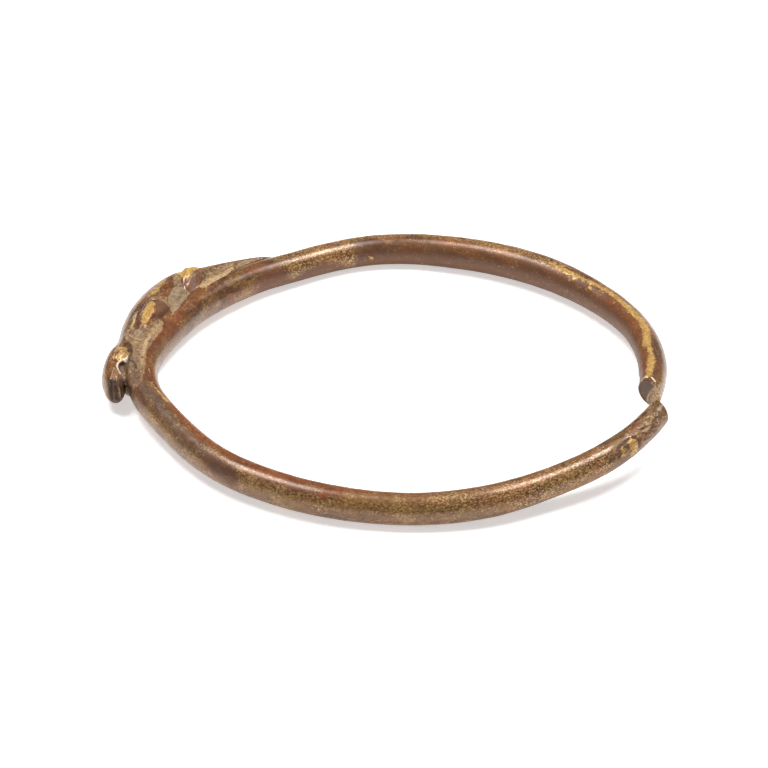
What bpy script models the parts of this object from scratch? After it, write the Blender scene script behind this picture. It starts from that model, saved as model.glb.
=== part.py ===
"""A cast bracelet: an open ring of round rod with a small reptile lying along its outer side.

Metres, +Z up. The bracelet lies flat, its reptile towards -X and the gap between its ends towards +X.
The origin is at the middle of the underside of its box. Rod and reptile are one casting, so one solid.
"""
import bisect
import math

import bmesh
import bpy
from mathutils import Matrix, Vector

MM = 0.001

# Ring of round rod, measured on its centre line
RING_RADIUS = 32.0 * MM
ROD_DIAMETER = 4.1 * MM
BACK_END_DIAMETER = 3.3 * MM
FRONT_END_DIAMETER = 3.05 * MM

# Open ends, as angles about the middle of the ring, counter-clockwise from +X
BACK_END_ANGLE = -15.0
FRONT_END_ANGLE = 335.0
BACK_CUT_TURN = -36.0
FRONT_CUT_TURN = -21.0
BACK_CUT_LENGTH = 0.7 * MM
FRONT_CUT_LENGTH = 0.3 * MM

# The ring isn't flat. It rests at the back, the front and under the reptile, which is thicker than the rod
# and lifts it, and both ends are sprung up.
BACK_REST_ANGLE = 88.0
FRONT_REST_ANGLE = 271.0
REPTILE_REST_ANGLE = 155.0
BACK_END_LIFT = 1.9 * MM
FRONT_END_LIFT = 4.0 * MM
END_LIFT_POWER = 1.85
RESTING_WEAR = 0.1 * MM

# The ring was bent by hand. Each bend is an angle and the centre line's distance from the middle of the
# ring there, as a share of RING_RADIUS.
BENDS = (
    (BACK_END_ANGLE, 1.021),
    (4.0, 1.016),
    (20.0, 1.013),
    (36.0, 1.000),
    (56.0, 0.997),
    (76.0, 1.000),
    (88.0, 1.008),
    (97.0, 1.000),
    (107.0, 0.972),
    (117.0, 0.946),
    (126.0, 0.941),
    (139.0, 0.938),
    (154.0, 0.950),
    (162.0, 0.960),
    (170.0, 0.980),
    (181.0, 1.013),
    (191.0, 1.017),
    (202.0, 0.995),
    (211.0, 0.986),
    (229.0, 0.995),
    (242.0, 0.993),
    (263.0, 1.002),
    (279.0, 1.020),
    (290.0, 1.036),
    (304.0, 1.051),
    (318.0, 1.092),
    (FRONT_END_ANGLE, 1.128),
)

# The rod was filed by hand. Each station is an angle and the thickness there as a share of ROD_DIAMETER.
THICKNESS = (
    (BACK_END_ANGLE, BACK_END_DIAMETER / ROD_DIAMETER),
    (0.0, 0.895),
    (20.0, 0.915),
    (36.0, 0.980),
    (54.0, 1.060),
    (76.0, 1.045),
    (90.0, 0.995),
    (117.0, 0.970),
    (133.0, 1.010),
    (150.0, 1.000),
    (190.0, 0.985),
    (213.0, 0.990),
    (232.0, 1.015),
    (254.0, 1.010),
    (268.0, 0.980),
    (291.0, 0.980),
    (304.0, 0.915),
    (318.0, 0.895),
    (FRONT_END_ANGLE, FRONT_END_DIAMETER / ROD_DIAMETER),
)

# Reptile, from the end of its snout to the tip of its tail along the rod
SNOUT_ANGLE = 191.0
REPTILE_LENGTH = 38.4 * MM
REPTILE_STAND_OUT = 4.2 * MM
REPTILE_BREADTH = 5.6 * MM
BELLY_DROP = 0.02

# Sections of its head, trunk and tail: share of the length, the inner and outer side's distance out from
# the rod's surface as shares of the stand-out, then the breadth and the rise above the rod's centre line
# as shares of the breadth
TRUNK = (
    (0.000, 0.24, 0.48, 0.24, -0.04),
    (0.012, 0.13, 0.62, 0.52, -0.04),
    (0.035, 0.05, 0.70, 0.70, -0.03),
    (0.080, 0.00, 0.74, 0.80, 0.00),
    (0.150, -0.08, 0.67, 0.86, 0.02),
    (0.215, -0.20, 0.59, 0.76, 0.00),
    (0.265, -0.30, 0.64, 0.76, 0.00),
    (0.340, -0.36, 0.84, 0.90, -BELLY_DROP),
    (0.430, -0.36, 1.04, 1.00, -BELLY_DROP),
    (0.540, -0.36, 1.17, 1.00, -BELLY_DROP),
    (0.640, -0.36, 1.07, 0.92, 0.01),
    (0.735, -0.36, 0.82, 0.72, 0.05),
    (0.850, -0.34, 0.46, 0.50, 0.09),
    (0.950, -0.32, 0.16, 0.34, 0.12),
    (1.000, -0.30, -0.06, 0.16, 0.14),
)

# Crust that fills the crevice between the rod and the reptile, with the same columns
CRUST = (
    (0.030, -0.30, 0.05, 0.44, 0.00),
    (0.060, -0.52, 0.20, 0.76, 0.00),
    (0.120, -0.78, 0.30, 0.88, 0.00),
    (0.200, -0.80, 0.40, 0.90, 0.00),
    (0.280, -0.72, 0.50, 0.90, 0.00),
    (0.360, -0.58, 0.50, 0.88, 0.00),
    (0.500, -0.40, 0.50, 0.84, 0.00),
    (0.620, -0.28, 0.50, 0.80, 0.00),
    (0.750, -0.22, 0.36, 0.74, 0.00),
    (0.900, -0.18, 0.12, 0.60, 0.00),
)

# Rounded lobes on both flanks: share of the length, distance out from the rod's surface as a share of the
# stand-out, height above its centre line as a share of the breadth, the three half sizes as shares of the
# length, the stand-out and the breadth, and the turn of the lobe from the rod's direction in degrees
LOBES = {
    "hind_leg": (0.676, 0.22, 0.350, (0.057, 0.44, 0.26), 0.0),
    "hind_foot": (0.636, -0.11, 0.300, (0.040, 0.22, 0.13), 0.0),
    "front_leg": (0.400, 0.04, 0.325, (0.090, 0.34, 0.23), 8.0),
    "front_foot": (0.322, -0.09, 0.330, (0.040, 0.20, 0.14), 20.0),
    "brow": (0.135, 0.20, 0.300, (0.050, 0.28, 0.19), 16.0),
}
UNDERSIDE_RELIEF = 0.74

TRACE_STEPS = 720
FRAME_REACH = 0.5 * MM
WELD_DISTANCE = 0.01 * MM
ROD_STEP = 1.9 * MM
ROD_SIDE_RESOLUTION = 6
SECTION_SIDES = 20
STRIP_STEPS = 44
LOBE_SEGMENTS = 18
LOBE_RINGS = 11

BRONZE_COLOUR = (0.20, 0.095, 0.05, 1.0)


def smooth_value(stations, x, column=1):
    """Reads a smooth curve through the stations at x, with no overshoot at the two ends."""
    xs = [station[0] for station in stations]
    ys = [station[column] for station in stations]
    x = min(max(x, xs[0]), xs[-1])
    i = min(max(bisect.bisect_right(xs, x) - 1, 0), len(xs) - 2)

    def slope(k):
        low, high = max(k - 1, 0), min(k + 1, len(xs) - 1)
        return (ys[high] - ys[low]) / (xs[high] - xs[low])

    span = xs[i + 1] - xs[i]
    t = (x - xs[i]) / span
    start = (1 + 2 * t) * (1 - t) ** 2 * ys[i] + t * (1 - t) ** 2 * span * slope(i)
    end = t * t * (3 - 2 * t) * ys[i + 1] - t * t * (1 - t) * span * slope(i + 1)
    return start + end


def rise_between_rests(angle):
    """A smooth rise from nothing at the back rest to 1 beside the head and nothing at the front rest."""
    share = (angle - BACK_REST_ANGLE) / (FRONT_REST_ANGLE - BACK_REST_ANGLE)
    return math.sin(math.pi * share) ** 2


def lift_at(angle):
    """How far the rod's underside is above the ground at an angle."""
    if angle < BACK_REST_ANGLE:
        share = (BACK_REST_ANGLE - angle) / (BACK_REST_ANGLE - BACK_END_ANGLE)
        return BACK_END_LIFT * share ** END_LIFT_POWER
    if angle > FRONT_REST_ANGLE:
        share = (angle - FRONT_REST_ANGLE) / (FRONT_END_ANGLE - FRONT_REST_ANGLE)
        return FRONT_END_LIFT * share ** END_LIFT_POWER
    belly_below_rod = REPTILE_BREADTH * (0.5 + BELLY_DROP) - ROD_DIAMETER / 2
    return belly_below_rod * rise_between_rests(angle) / rise_between_rests(REPTILE_REST_ANGLE)


class Ring:
    """The rod's centre line as evenly spaced points, with its radius at each."""

    def __init__(self):
        fine = self.trace(BACK_END_ANGLE, FRONT_END_ANGLE, TRACE_STEPS)
        self.length = fine[-1][0]
        count = round(self.length / ROD_STEP)
        self.arcs = [self.length * k / count for k in range(count + 1)]
        self.fine = fine
        self.points = [self.centre(arc) for arc in self.arcs]

    @staticmethod
    def trace(first, last, steps):
        """Rows of distance along the rod, angle and place on the ground plan."""
        rows = []
        arc = 0.0
        before = None
        for k in range(steps + 1):
            angle = first + (last - first) * k / steps
            radius = RING_RADIUS * smooth_value(BENDS, angle)
            turn = math.radians(angle)
            flat = Vector((radius * math.cos(turn), radius * math.sin(turn), 0.0))
            if before is not None:
                arc += (flat - before).length
            before = flat
            rows.append((arc, angle, flat))
        return rows

    def arc(self, angle):
        """The distance along the rod at an angle."""
        share = (angle - BACK_END_ANGLE) / (FRONT_END_ANGLE - BACK_END_ANGLE)
        place = min(max(share, 0.0), 1.0) * (len(self.fine) - 1)
        k = min(int(place), len(self.fine) - 2)
        return self.fine[k][0] + (self.fine[k + 1][0] - self.fine[k][0]) * (place - k)

    def read(self, arc):
        """The angle and the place on the ground plan at a distance along the rod."""
        arcs = [row[0] for row in self.fine]
        k = min(max(bisect.bisect_right(arcs, arc) - 1, 0), len(arcs) - 2)
        t = (arc - arcs[k]) / (arcs[k + 1] - arcs[k])
        angle = self.fine[k][1] + (self.fine[k + 1][1] - self.fine[k][1]) * t
        return angle, self.fine[k][2].lerp(self.fine[k + 1][2], t)

    def rod_radius(self, arc):
        """Half the rod's thickness, which shrinks towards both ends."""
        return ROD_DIAMETER * smooth_value(THICKNESS, self.read(arc)[0]) / 2

    def centre(self, arc):
        angle, flat = self.read(arc)
        return flat + Vector((0.0, 0.0, lift_at(angle) + self.rod_radius(arc) - RESTING_WEAR))

    def frame(self, arc):
        """Centre, direction along, direction out of the ring and direction up at a distance along the rod."""
        low = max(arc - FRAME_REACH, 0.0)
        high = min(arc + FRAME_REACH, self.length)
        along = (self.centre(high) - self.centre(low)).normalized()
        out = along.cross(Vector((0.0, 0.0, 1.0))).normalized()
        return self.centre(arc), along, out, out.cross(along).normalized()


def new_object(name, mesh, collection):
    thing = bpy.data.objects.new(name, mesh)
    collection.objects.link(thing)
    return thing


def helper(thing):
    """Marks an object that only shapes another one."""
    thing.hide_render = True
    thing.display_type = 'WIRE'
    return thing


def join(target, tool, operation):
    boolean = target.modifiers.new(tool.name, 'BOOLEAN')
    boolean.operation = operation
    boolean.solver = 'EXACT'
    boolean.object = tool


def rod_mesh(ring):
    """The tapering rod, swept along the centre line and closed at both ends."""
    curve = bpy.data.curves.new("rod_path", 'CURVE')
    curve.dimensions = '3D'
    curve.bevel_depth = 1.0
    curve.bevel_resolution = ROD_SIDE_RESOLUTION
    curve.use_fill_caps = True
    spline = curve.splines.new('POLY')
    spline.points.add(len(ring.points) - 1)
    for point, arc, place in zip(spline.points, ring.arcs, ring.points):
        point.co = (*place, 1.0)
        point.radius = ring.rod_radius(arc)
    path = bpy.data.objects.new("rod_path", curve)
    bpy.context.scene.collection.objects.link(path)
    evaluated = path.evaluated_get(bpy.context.evaluated_depsgraph_get())
    mesh = bpy.data.meshes.new_from_object(evaluated)
    bpy.data.objects.remove(path)
    bm = bmesh.new()
    bm.from_mesh(mesh)
    bmesh.ops.remove_doubles(bm, verts=bm.verts, dist=WELD_DISTANCE)
    bmesh.ops.recalc_face_normals(bm, faces=bm.faces)
    bm.to_mesh(mesh)
    bm.free()
    return mesh


def loft_mesh(name, sections):
    """A closed skin through sections with the same number of points."""
    bm = bmesh.new()
    rings = [[bm.verts.new(point) for point in section] for section in sections]
    for one, two in zip(rings, rings[1:]):
        for k in range(len(one)):
            bm.faces.new((one[k - 1], one[k], two[k], two[k - 1]))
    bm.faces.new(rings[0])
    bm.faces.new(reversed(rings[-1]))
    bmesh.ops.recalc_face_normals(bm, faces=bm.faces)
    mesh = bpy.data.meshes.new(name)
    bm.to_mesh(mesh)
    bm.free()
    return mesh


def strip_mesh(name, ring, snout_arc, stations):
    """A skin through oval sections that lies against the rod's outer side."""
    first, last = stations[0][0], stations[-1][0]
    sections = []
    for k in range(STRIP_STEPS + 1):
        share = k / STRIP_STEPS
        share = first + (last - first) * share * share * (1.5 - 0.5 * share)
        arc = snout_arc - REPTILE_LENGTH * share
        centre, along, out, up = ring.frame(arc)
        surface = ring.rod_radius(arc)
        inner = surface + REPTILE_STAND_OUT * smooth_value(stations, share, 1)
        outer = surface + REPTILE_STAND_OUT * smooth_value(stations, share, 2)
        half_breadth = REPTILE_BREADTH * smooth_value(stations, share, 3) / 2
        rise = REPTILE_BREADTH * smooth_value(stations, share, 4)
        middle = (inner + outer) / 2
        section = []
        for side in range(SECTION_SIDES):
            turn = 2 * math.pi * side / SECTION_SIDES
            reach_out = middle + (outer - inner) / 2 * math.cos(turn)
            reach_up = rise + half_breadth * math.sin(turn)
            section.append(centre + out * reach_out + up * reach_up)
        sections.append(section)
    return loft_mesh(name, sections)


def lobe_mesh(name, ring, snout_arc, lobe, side):
    """A rounded lobe on the upper (side 1) or lower (side -1) flank, shallower below."""
    share, out_share, height_share, half_shares, turn = lobe
    relief = 1.0 if side > 0 else UNDERSIDE_RELIEF
    arc = snout_arc - REPTILE_LENGTH * share
    centre, along, out, up = ring.frame(arc)
    reach_out = ring.rod_radius(arc) + REPTILE_STAND_OUT * out_share
    height = REPTILE_BREADTH * height_share * relief * side
    place = centre + out * reach_out + up * height
    half_sizes = (REPTILE_LENGTH * half_shares[0], REPTILE_STAND_OUT * half_shares[1],
                  REPTILE_BREADTH * half_shares[2] * relief)
    axes = Matrix((along, out, up)).transposed()
    turned = axes @ Matrix.Rotation(math.radians(turn), 3, 'Z')
    bm = bmesh.new()
    bmesh.ops.create_uvsphere(bm, u_segments=LOBE_SEGMENTS, v_segments=LOBE_RINGS, radius=1.0)
    shape = turned @ Matrix.Diagonal(half_sizes)
    bmesh.ops.transform(bm, matrix=Matrix.Translation(place) @ shape.to_4x4(), verts=bm.verts)
    bmesh.ops.recalc_face_normals(bm, faces=bm.faces)
    mesh = bpy.data.meshes.new(name)
    bm.to_mesh(mesh)
    bm.free()
    return mesh


def block(name, corner, size, turn, collection):
    """A box cutter whose near face passes through a corner point."""
    bm = bmesh.new()
    bmesh.ops.create_cube(bm, size=1.0)
    bmesh.ops.scale(bm, vec=size, verts=bm.verts)
    bmesh.ops.translate(bm, vec=(size[0] / 2, 0.0, 0.0), verts=bm.verts)
    bmesh.ops.rotate(bm, cent=(0, 0, 0), matrix=Matrix.Rotation(turn, 3, 'Z'), verts=bm.verts)
    bmesh.ops.translate(bm, vec=corner, verts=bm.verts)
    mesh = bpy.data.meshes.new(name)
    bm.to_mesh(mesh)
    bm.free()
    return helper(new_object(name, mesh, collection))


def end_cutter(ring, name, arc, outward, turn, collection):
    """Cuts an end of the rod off obliquely, turned from square by an angle about the vertical."""
    centre, along, out, up = ring.frame(arc)
    heading = along * outward
    direction = math.atan2(heading.y, heading.x) + math.radians(turn)
    size = (ROD_DIAMETER, ROD_DIAMETER * 2, ROD_DIAMETER * 2)
    return block(name, centre, size, direction, collection)


def ground_cutter(collection):
    """Wears the underside flat where the bracelet rests."""
    reach = RING_RADIUS * 3
    depth = ROD_DIAMETER
    corner = (-reach / 2, 0.0, -depth / 2)
    return block("ground", corner, (reach, reach, depth), 0.0, collection)


def bronze():
    material = bpy.data.materials.new("bronze")
    material.use_nodes = True
    shader = material.node_tree.nodes["Principled BSDF"]
    shader.inputs["Base Color"].default_value = BRONZE_COLOUR
    shader.inputs["Metallic"].default_value = 0.7
    shader.inputs["Roughness"].default_value = 0.42
    material.diffuse_color = BRONZE_COLOUR
    return material


def centre_on_origin(thing):
    """Moves the finished form so that the origin is at the middle of the underside of its box."""
    bpy.context.view_layer.update()
    evaluated = thing.evaluated_get(bpy.context.evaluated_depsgraph_get())
    corners = [thing.matrix_world @ vertex.co for vertex in evaluated.data.vertices]
    low = [min(corner[axis] for corner in corners) for axis in range(3)]
    high = [max(corner[axis] for corner in corners) for axis in range(3)]
    shift = Vector((-(low[0] + high[0]) / 2, -(low[1] + high[1]) / 2, -low[2]))
    for moved in bpy.data.objects:
        moved.data.transform(Matrix.Translation(shift))
    return shift


def build():
    for thing in list(bpy.data.objects):
        bpy.data.objects.remove(thing)
    parts = bpy.data.collections.new("bracelet")
    tools = bpy.data.collections.new("cutters")
    bpy.context.scene.collection.children.link(parts)
    bpy.context.scene.collection.children.link(tools)

    ring = Ring()
    snout_arc = ring.arc(SNOUT_ANGLE)
    bracelet = new_object("bracelet", rod_mesh(ring), parts)

    for name, stations in (("trunk", TRUNK), ("crust", CRUST)):
        strip = strip_mesh(name, ring, snout_arc, stations)
        join(bracelet, helper(new_object(name, strip, tools)), 'UNION')
    for name, lobe in LOBES.items():
        for side, word in ((1, "upper"), (-1, "lower")):
            mesh = lobe_mesh(f"{word}_{name}", ring, snout_arc, lobe, side)
            join(bracelet, helper(new_object(f"{word}_{name}", mesh, tools)), 'UNION')

    back = end_cutter(ring, "back_end_cut", BACK_CUT_LENGTH, -1, BACK_CUT_TURN, tools)
    front = end_cutter(ring, "front_end_cut", ring.length - FRONT_CUT_LENGTH, 1, FRONT_CUT_TURN, tools)
    join(bracelet, back, 'DIFFERENCE')
    join(bracelet, front, 'DIFFERENCE')
    join(bracelet, ground_cutter(tools), 'DIFFERENCE')

    bracelet.data.materials.append(bronze())
    bracelet.data.shade_smooth()
    centre_on_origin(bracelet)


build()
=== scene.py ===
"""The looks of a cast amulet bracelet: an open ring of round bronze rod with a small reptile along it.

Metres, +Z up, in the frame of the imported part. Rod and reptile are one casting, so they become one piece:
the rod is swept along its bent centre line, the reptile is modelled beside it, both are joined, and the
small forms of age and wear are pressed into the skin before it gets its patina.
"""
import math

import bmesh
import bpy
import numpy as np
from bpy.props import FloatProperty, FloatVectorProperty, IntProperty, PointerProperty
from mathutils import Euler, Matrix, Vector, noise


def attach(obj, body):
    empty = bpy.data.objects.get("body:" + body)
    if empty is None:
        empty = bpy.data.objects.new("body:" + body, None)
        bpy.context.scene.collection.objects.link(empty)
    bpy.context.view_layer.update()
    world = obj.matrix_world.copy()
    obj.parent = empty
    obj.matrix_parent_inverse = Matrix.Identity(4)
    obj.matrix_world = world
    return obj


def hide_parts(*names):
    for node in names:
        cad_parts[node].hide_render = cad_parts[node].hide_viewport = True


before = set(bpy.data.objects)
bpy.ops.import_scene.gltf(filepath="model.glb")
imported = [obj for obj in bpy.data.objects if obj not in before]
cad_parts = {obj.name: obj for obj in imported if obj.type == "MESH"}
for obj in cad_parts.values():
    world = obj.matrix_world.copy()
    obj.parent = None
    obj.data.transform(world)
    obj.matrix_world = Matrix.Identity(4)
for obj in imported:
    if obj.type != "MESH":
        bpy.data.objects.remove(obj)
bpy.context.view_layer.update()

bl_info = {
    "name": "Amulet bracelet",
    "version": (1, 0, 0),
    "blender": (4, 5, 0),
    "location": "3D View > Sidebar > Bracelet",
    "description": "Casts an open bronze bracelet with a reptile on it and lays it on a pale floor",
    "category": "Object",
}

MM = 0.001
PIECE = "bracelet_cast"

# The ring's middle lies a little off the middle of the part's box
RING_MIDDLE = np.array((1.593, 0.035, 0.0)) * MM

# Ring of round rod, measured on its centre line, with the angles of its open ends counter-clockwise from +X
RING_RADIUS = 32.0 * MM
ROD_DIAMETER = 4.1 * MM
BACK_END_DIAMETER = 3.3 * MM
FRONT_END_DIAMETER = 3.05 * MM
BACK_END_ANGLE = -15.0
FRONT_END_ANGLE = 335.0
BACK_CUT_TURN = -36.0
FRONT_CUT_TURN = -21.0
BACK_CUT_LENGTH = 0.7 * MM
FRONT_CUT_LENGTH = 0.3 * MM

# The ring isn't flat: it rests at three places and both ends are sprung up
BACK_REST_ANGLE = 88.0
FRONT_REST_ANGLE = 271.0
REPTILE_REST_ANGLE = 155.0
BACK_END_LIFT = 1.9 * MM
FRONT_END_LIFT = 4.0 * MM
END_LIFT_POWER = 1.85
RESTING_WEAR = 0.1 * MM

# Bends by hand: angle, and the centre line's distance from the ring's middle as a share of RING_RADIUS
BENDS = (
    (BACK_END_ANGLE, 1.021), (4.0, 1.016), (20.0, 1.013), (36.0, 1.000), (56.0, 0.997), (76.0, 1.000),
    (88.0, 1.008), (97.0, 1.000), (107.0, 0.972), (117.0, 0.946), (126.0, 0.941), (139.0, 0.938),
    (154.0, 0.950), (162.0, 0.960), (170.0, 0.980), (181.0, 1.013), (191.0, 1.017), (202.0, 0.995),
    (211.0, 0.986), (229.0, 0.995), (242.0, 0.993), (263.0, 1.002), (279.0, 1.020), (290.0, 1.036),
    (304.0, 1.051), (318.0, 1.092), (FRONT_END_ANGLE, 1.128),
)

# Thickness by the file: angle, and the rod's thickness there as a share of ROD_DIAMETER
THICKNESS = (
    (BACK_END_ANGLE, BACK_END_DIAMETER / ROD_DIAMETER), (0.0, 0.895), (20.0, 0.915), (36.0, 0.980),
    (54.0, 1.060), (76.0, 1.045), (90.0, 0.995), (117.0, 0.970), (133.0, 1.010), (150.0, 1.000),
    (190.0, 0.985), (213.0, 0.990), (232.0, 1.015), (254.0, 1.010), (268.0, 0.980), (291.0, 0.980),
    (304.0, 0.915), (318.0, 0.895), (FRONT_END_ANGLE, FRONT_END_DIAMETER / ROD_DIAMETER),
)

# Reptile, from the end of its snout to the tip of its tail along the rod
SNOUT_ANGLE = 191.0
REPTILE_LENGTH = 38.4 * MM
REPTILE_STAND_OUT = 4.2 * MM
REPTILE_BREADTH = 5.6 * MM
BELLY_DROP = 0.02

# Sections of head, trunk and tail: share of the length, the inner and outer side's distance out from the
# rod's surface as shares of the stand-out, then breadth and rise as shares of the breadth
TRUNK = (
    (0.000, 0.24, 0.48, 0.24, -0.04),
    (0.012, 0.13, 0.62, 0.52, -0.04),
    (0.035, 0.05, 0.70, 0.70, -0.03),
    (0.080, 0.00, 0.74, 0.80, 0.00),
    (0.150, -0.08, 0.67, 0.86, 0.02),
    (0.215, -0.20, 0.59, 0.76, 0.00),
    (0.265, -0.30, 0.64, 0.76, 0.00),
    (0.340, -0.36, 0.84, 0.90, -BELLY_DROP),
    (0.430, -0.36, 1.04, 1.00, -BELLY_DROP),
    (0.540, -0.36, 1.18, 1.00, -BELLY_DROP),
    (0.640, -0.36, 1.12, 0.98, 0.02),
    (0.735, -0.36, 0.82, 0.72, 0.05),
    (0.850, -0.34, 0.46, 0.50, 0.09),
    (0.950, -0.32, 0.16, 0.34, 0.12),
    (1.000, -0.30, -0.06, 0.16, 0.14),
)
CRUST = (
    (0.030, -0.30, 0.05, 0.44, 0.00),
    (0.060, -0.52, 0.20, 0.76, 0.00),
    (0.120, -0.78, 0.30, 0.88, 0.00),
    (0.200, -0.80, 0.40, 0.90, 0.00),
    (0.280, -0.72, 0.50, 0.90, 0.00),
    (0.360, -0.58, 0.50, 0.88, 0.00),
    (0.500, -0.40, 0.50, 0.84, 0.00),
    (0.620, -0.28, 0.50, 0.80, 0.00),
    (0.750, -0.22, 0.36, 0.74, 0.00),
    (0.900, -0.18, 0.12, 0.42, 0.09),
)

# Rounded lobes: share of the length, distance out and height as shares of the stand-out and the breadth,
# three half sizes as shares of length, stand-out and breadth, the lobe's turn in degrees, and its sides
BOTH_SIDES = (1, -1)
UPPER_SIDE = (1,)
LOWER_SIDE = (-1,)
LOBES = {
    "hind_leg": (0.676, 0.22, 0.350, (0.057, 0.44, 0.26), 0.0, LOWER_SIDE),
    "hind_foot": (0.636, -0.11, 0.300, (0.040, 0.22, 0.13), 0.0, LOWER_SIDE),
    "front_leg": (0.400, 0.04, 0.325, (0.090, 0.34, 0.23), 8.0, BOTH_SIDES),
    "front_foot": (0.322, -0.09, 0.330, (0.040, 0.20, 0.14), 20.0, BOTH_SIDES),
    "brow": (0.135, 0.20, 0.300, (0.050, 0.28, 0.19), 16.0, BOTH_SIDES),
    "crust_end": (0.030, -0.14, 0.220, (0.050, 0.20, 0.17), 0.0, UPPER_SIDE),
}
UNDERSIDE_RELIEF = 0.74

# Blocky forms on the upper side, each the hull of its corners: share of the length, out and up in mm
BLOCKS = {
    "hind_leg": (
        (0.628, 3.1, 2.95), (0.640, 4.3, 2.80), (0.668, 4.4, 3.15), (0.694, 3.3, 3.30), (0.698, 2.3, 3.20),
        (0.660, 2.35, 3.30), (0.640, 2.4, 3.05), (0.586, 1.7, 1.90), (0.600, 3.0, 1.90), (0.625, 0.8, 1.75),
        (0.660, 0.9, 1.60), (0.700, 1.4, 1.80), (0.706, 3.2, 1.80), (0.660, 4.4, 1.80),
    ),
    "front_leg": (
        (0.446, 3.9, 2.75), (0.449, 3.1, 2.95), (0.426, 2.4, 3.10), (0.393, 1.6, 3.05), (0.345, 1.5, 2.85),
        (0.308, 1.5, 2.75), (0.298, 1.9, 2.75), (0.312, 2.5, 2.70), (0.343, 2.8, 2.85), (0.402, 3.6, 2.80),
        (0.400, 2.4, 1.60), (0.330, 1.9, 1.80),
    ),
}
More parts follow.
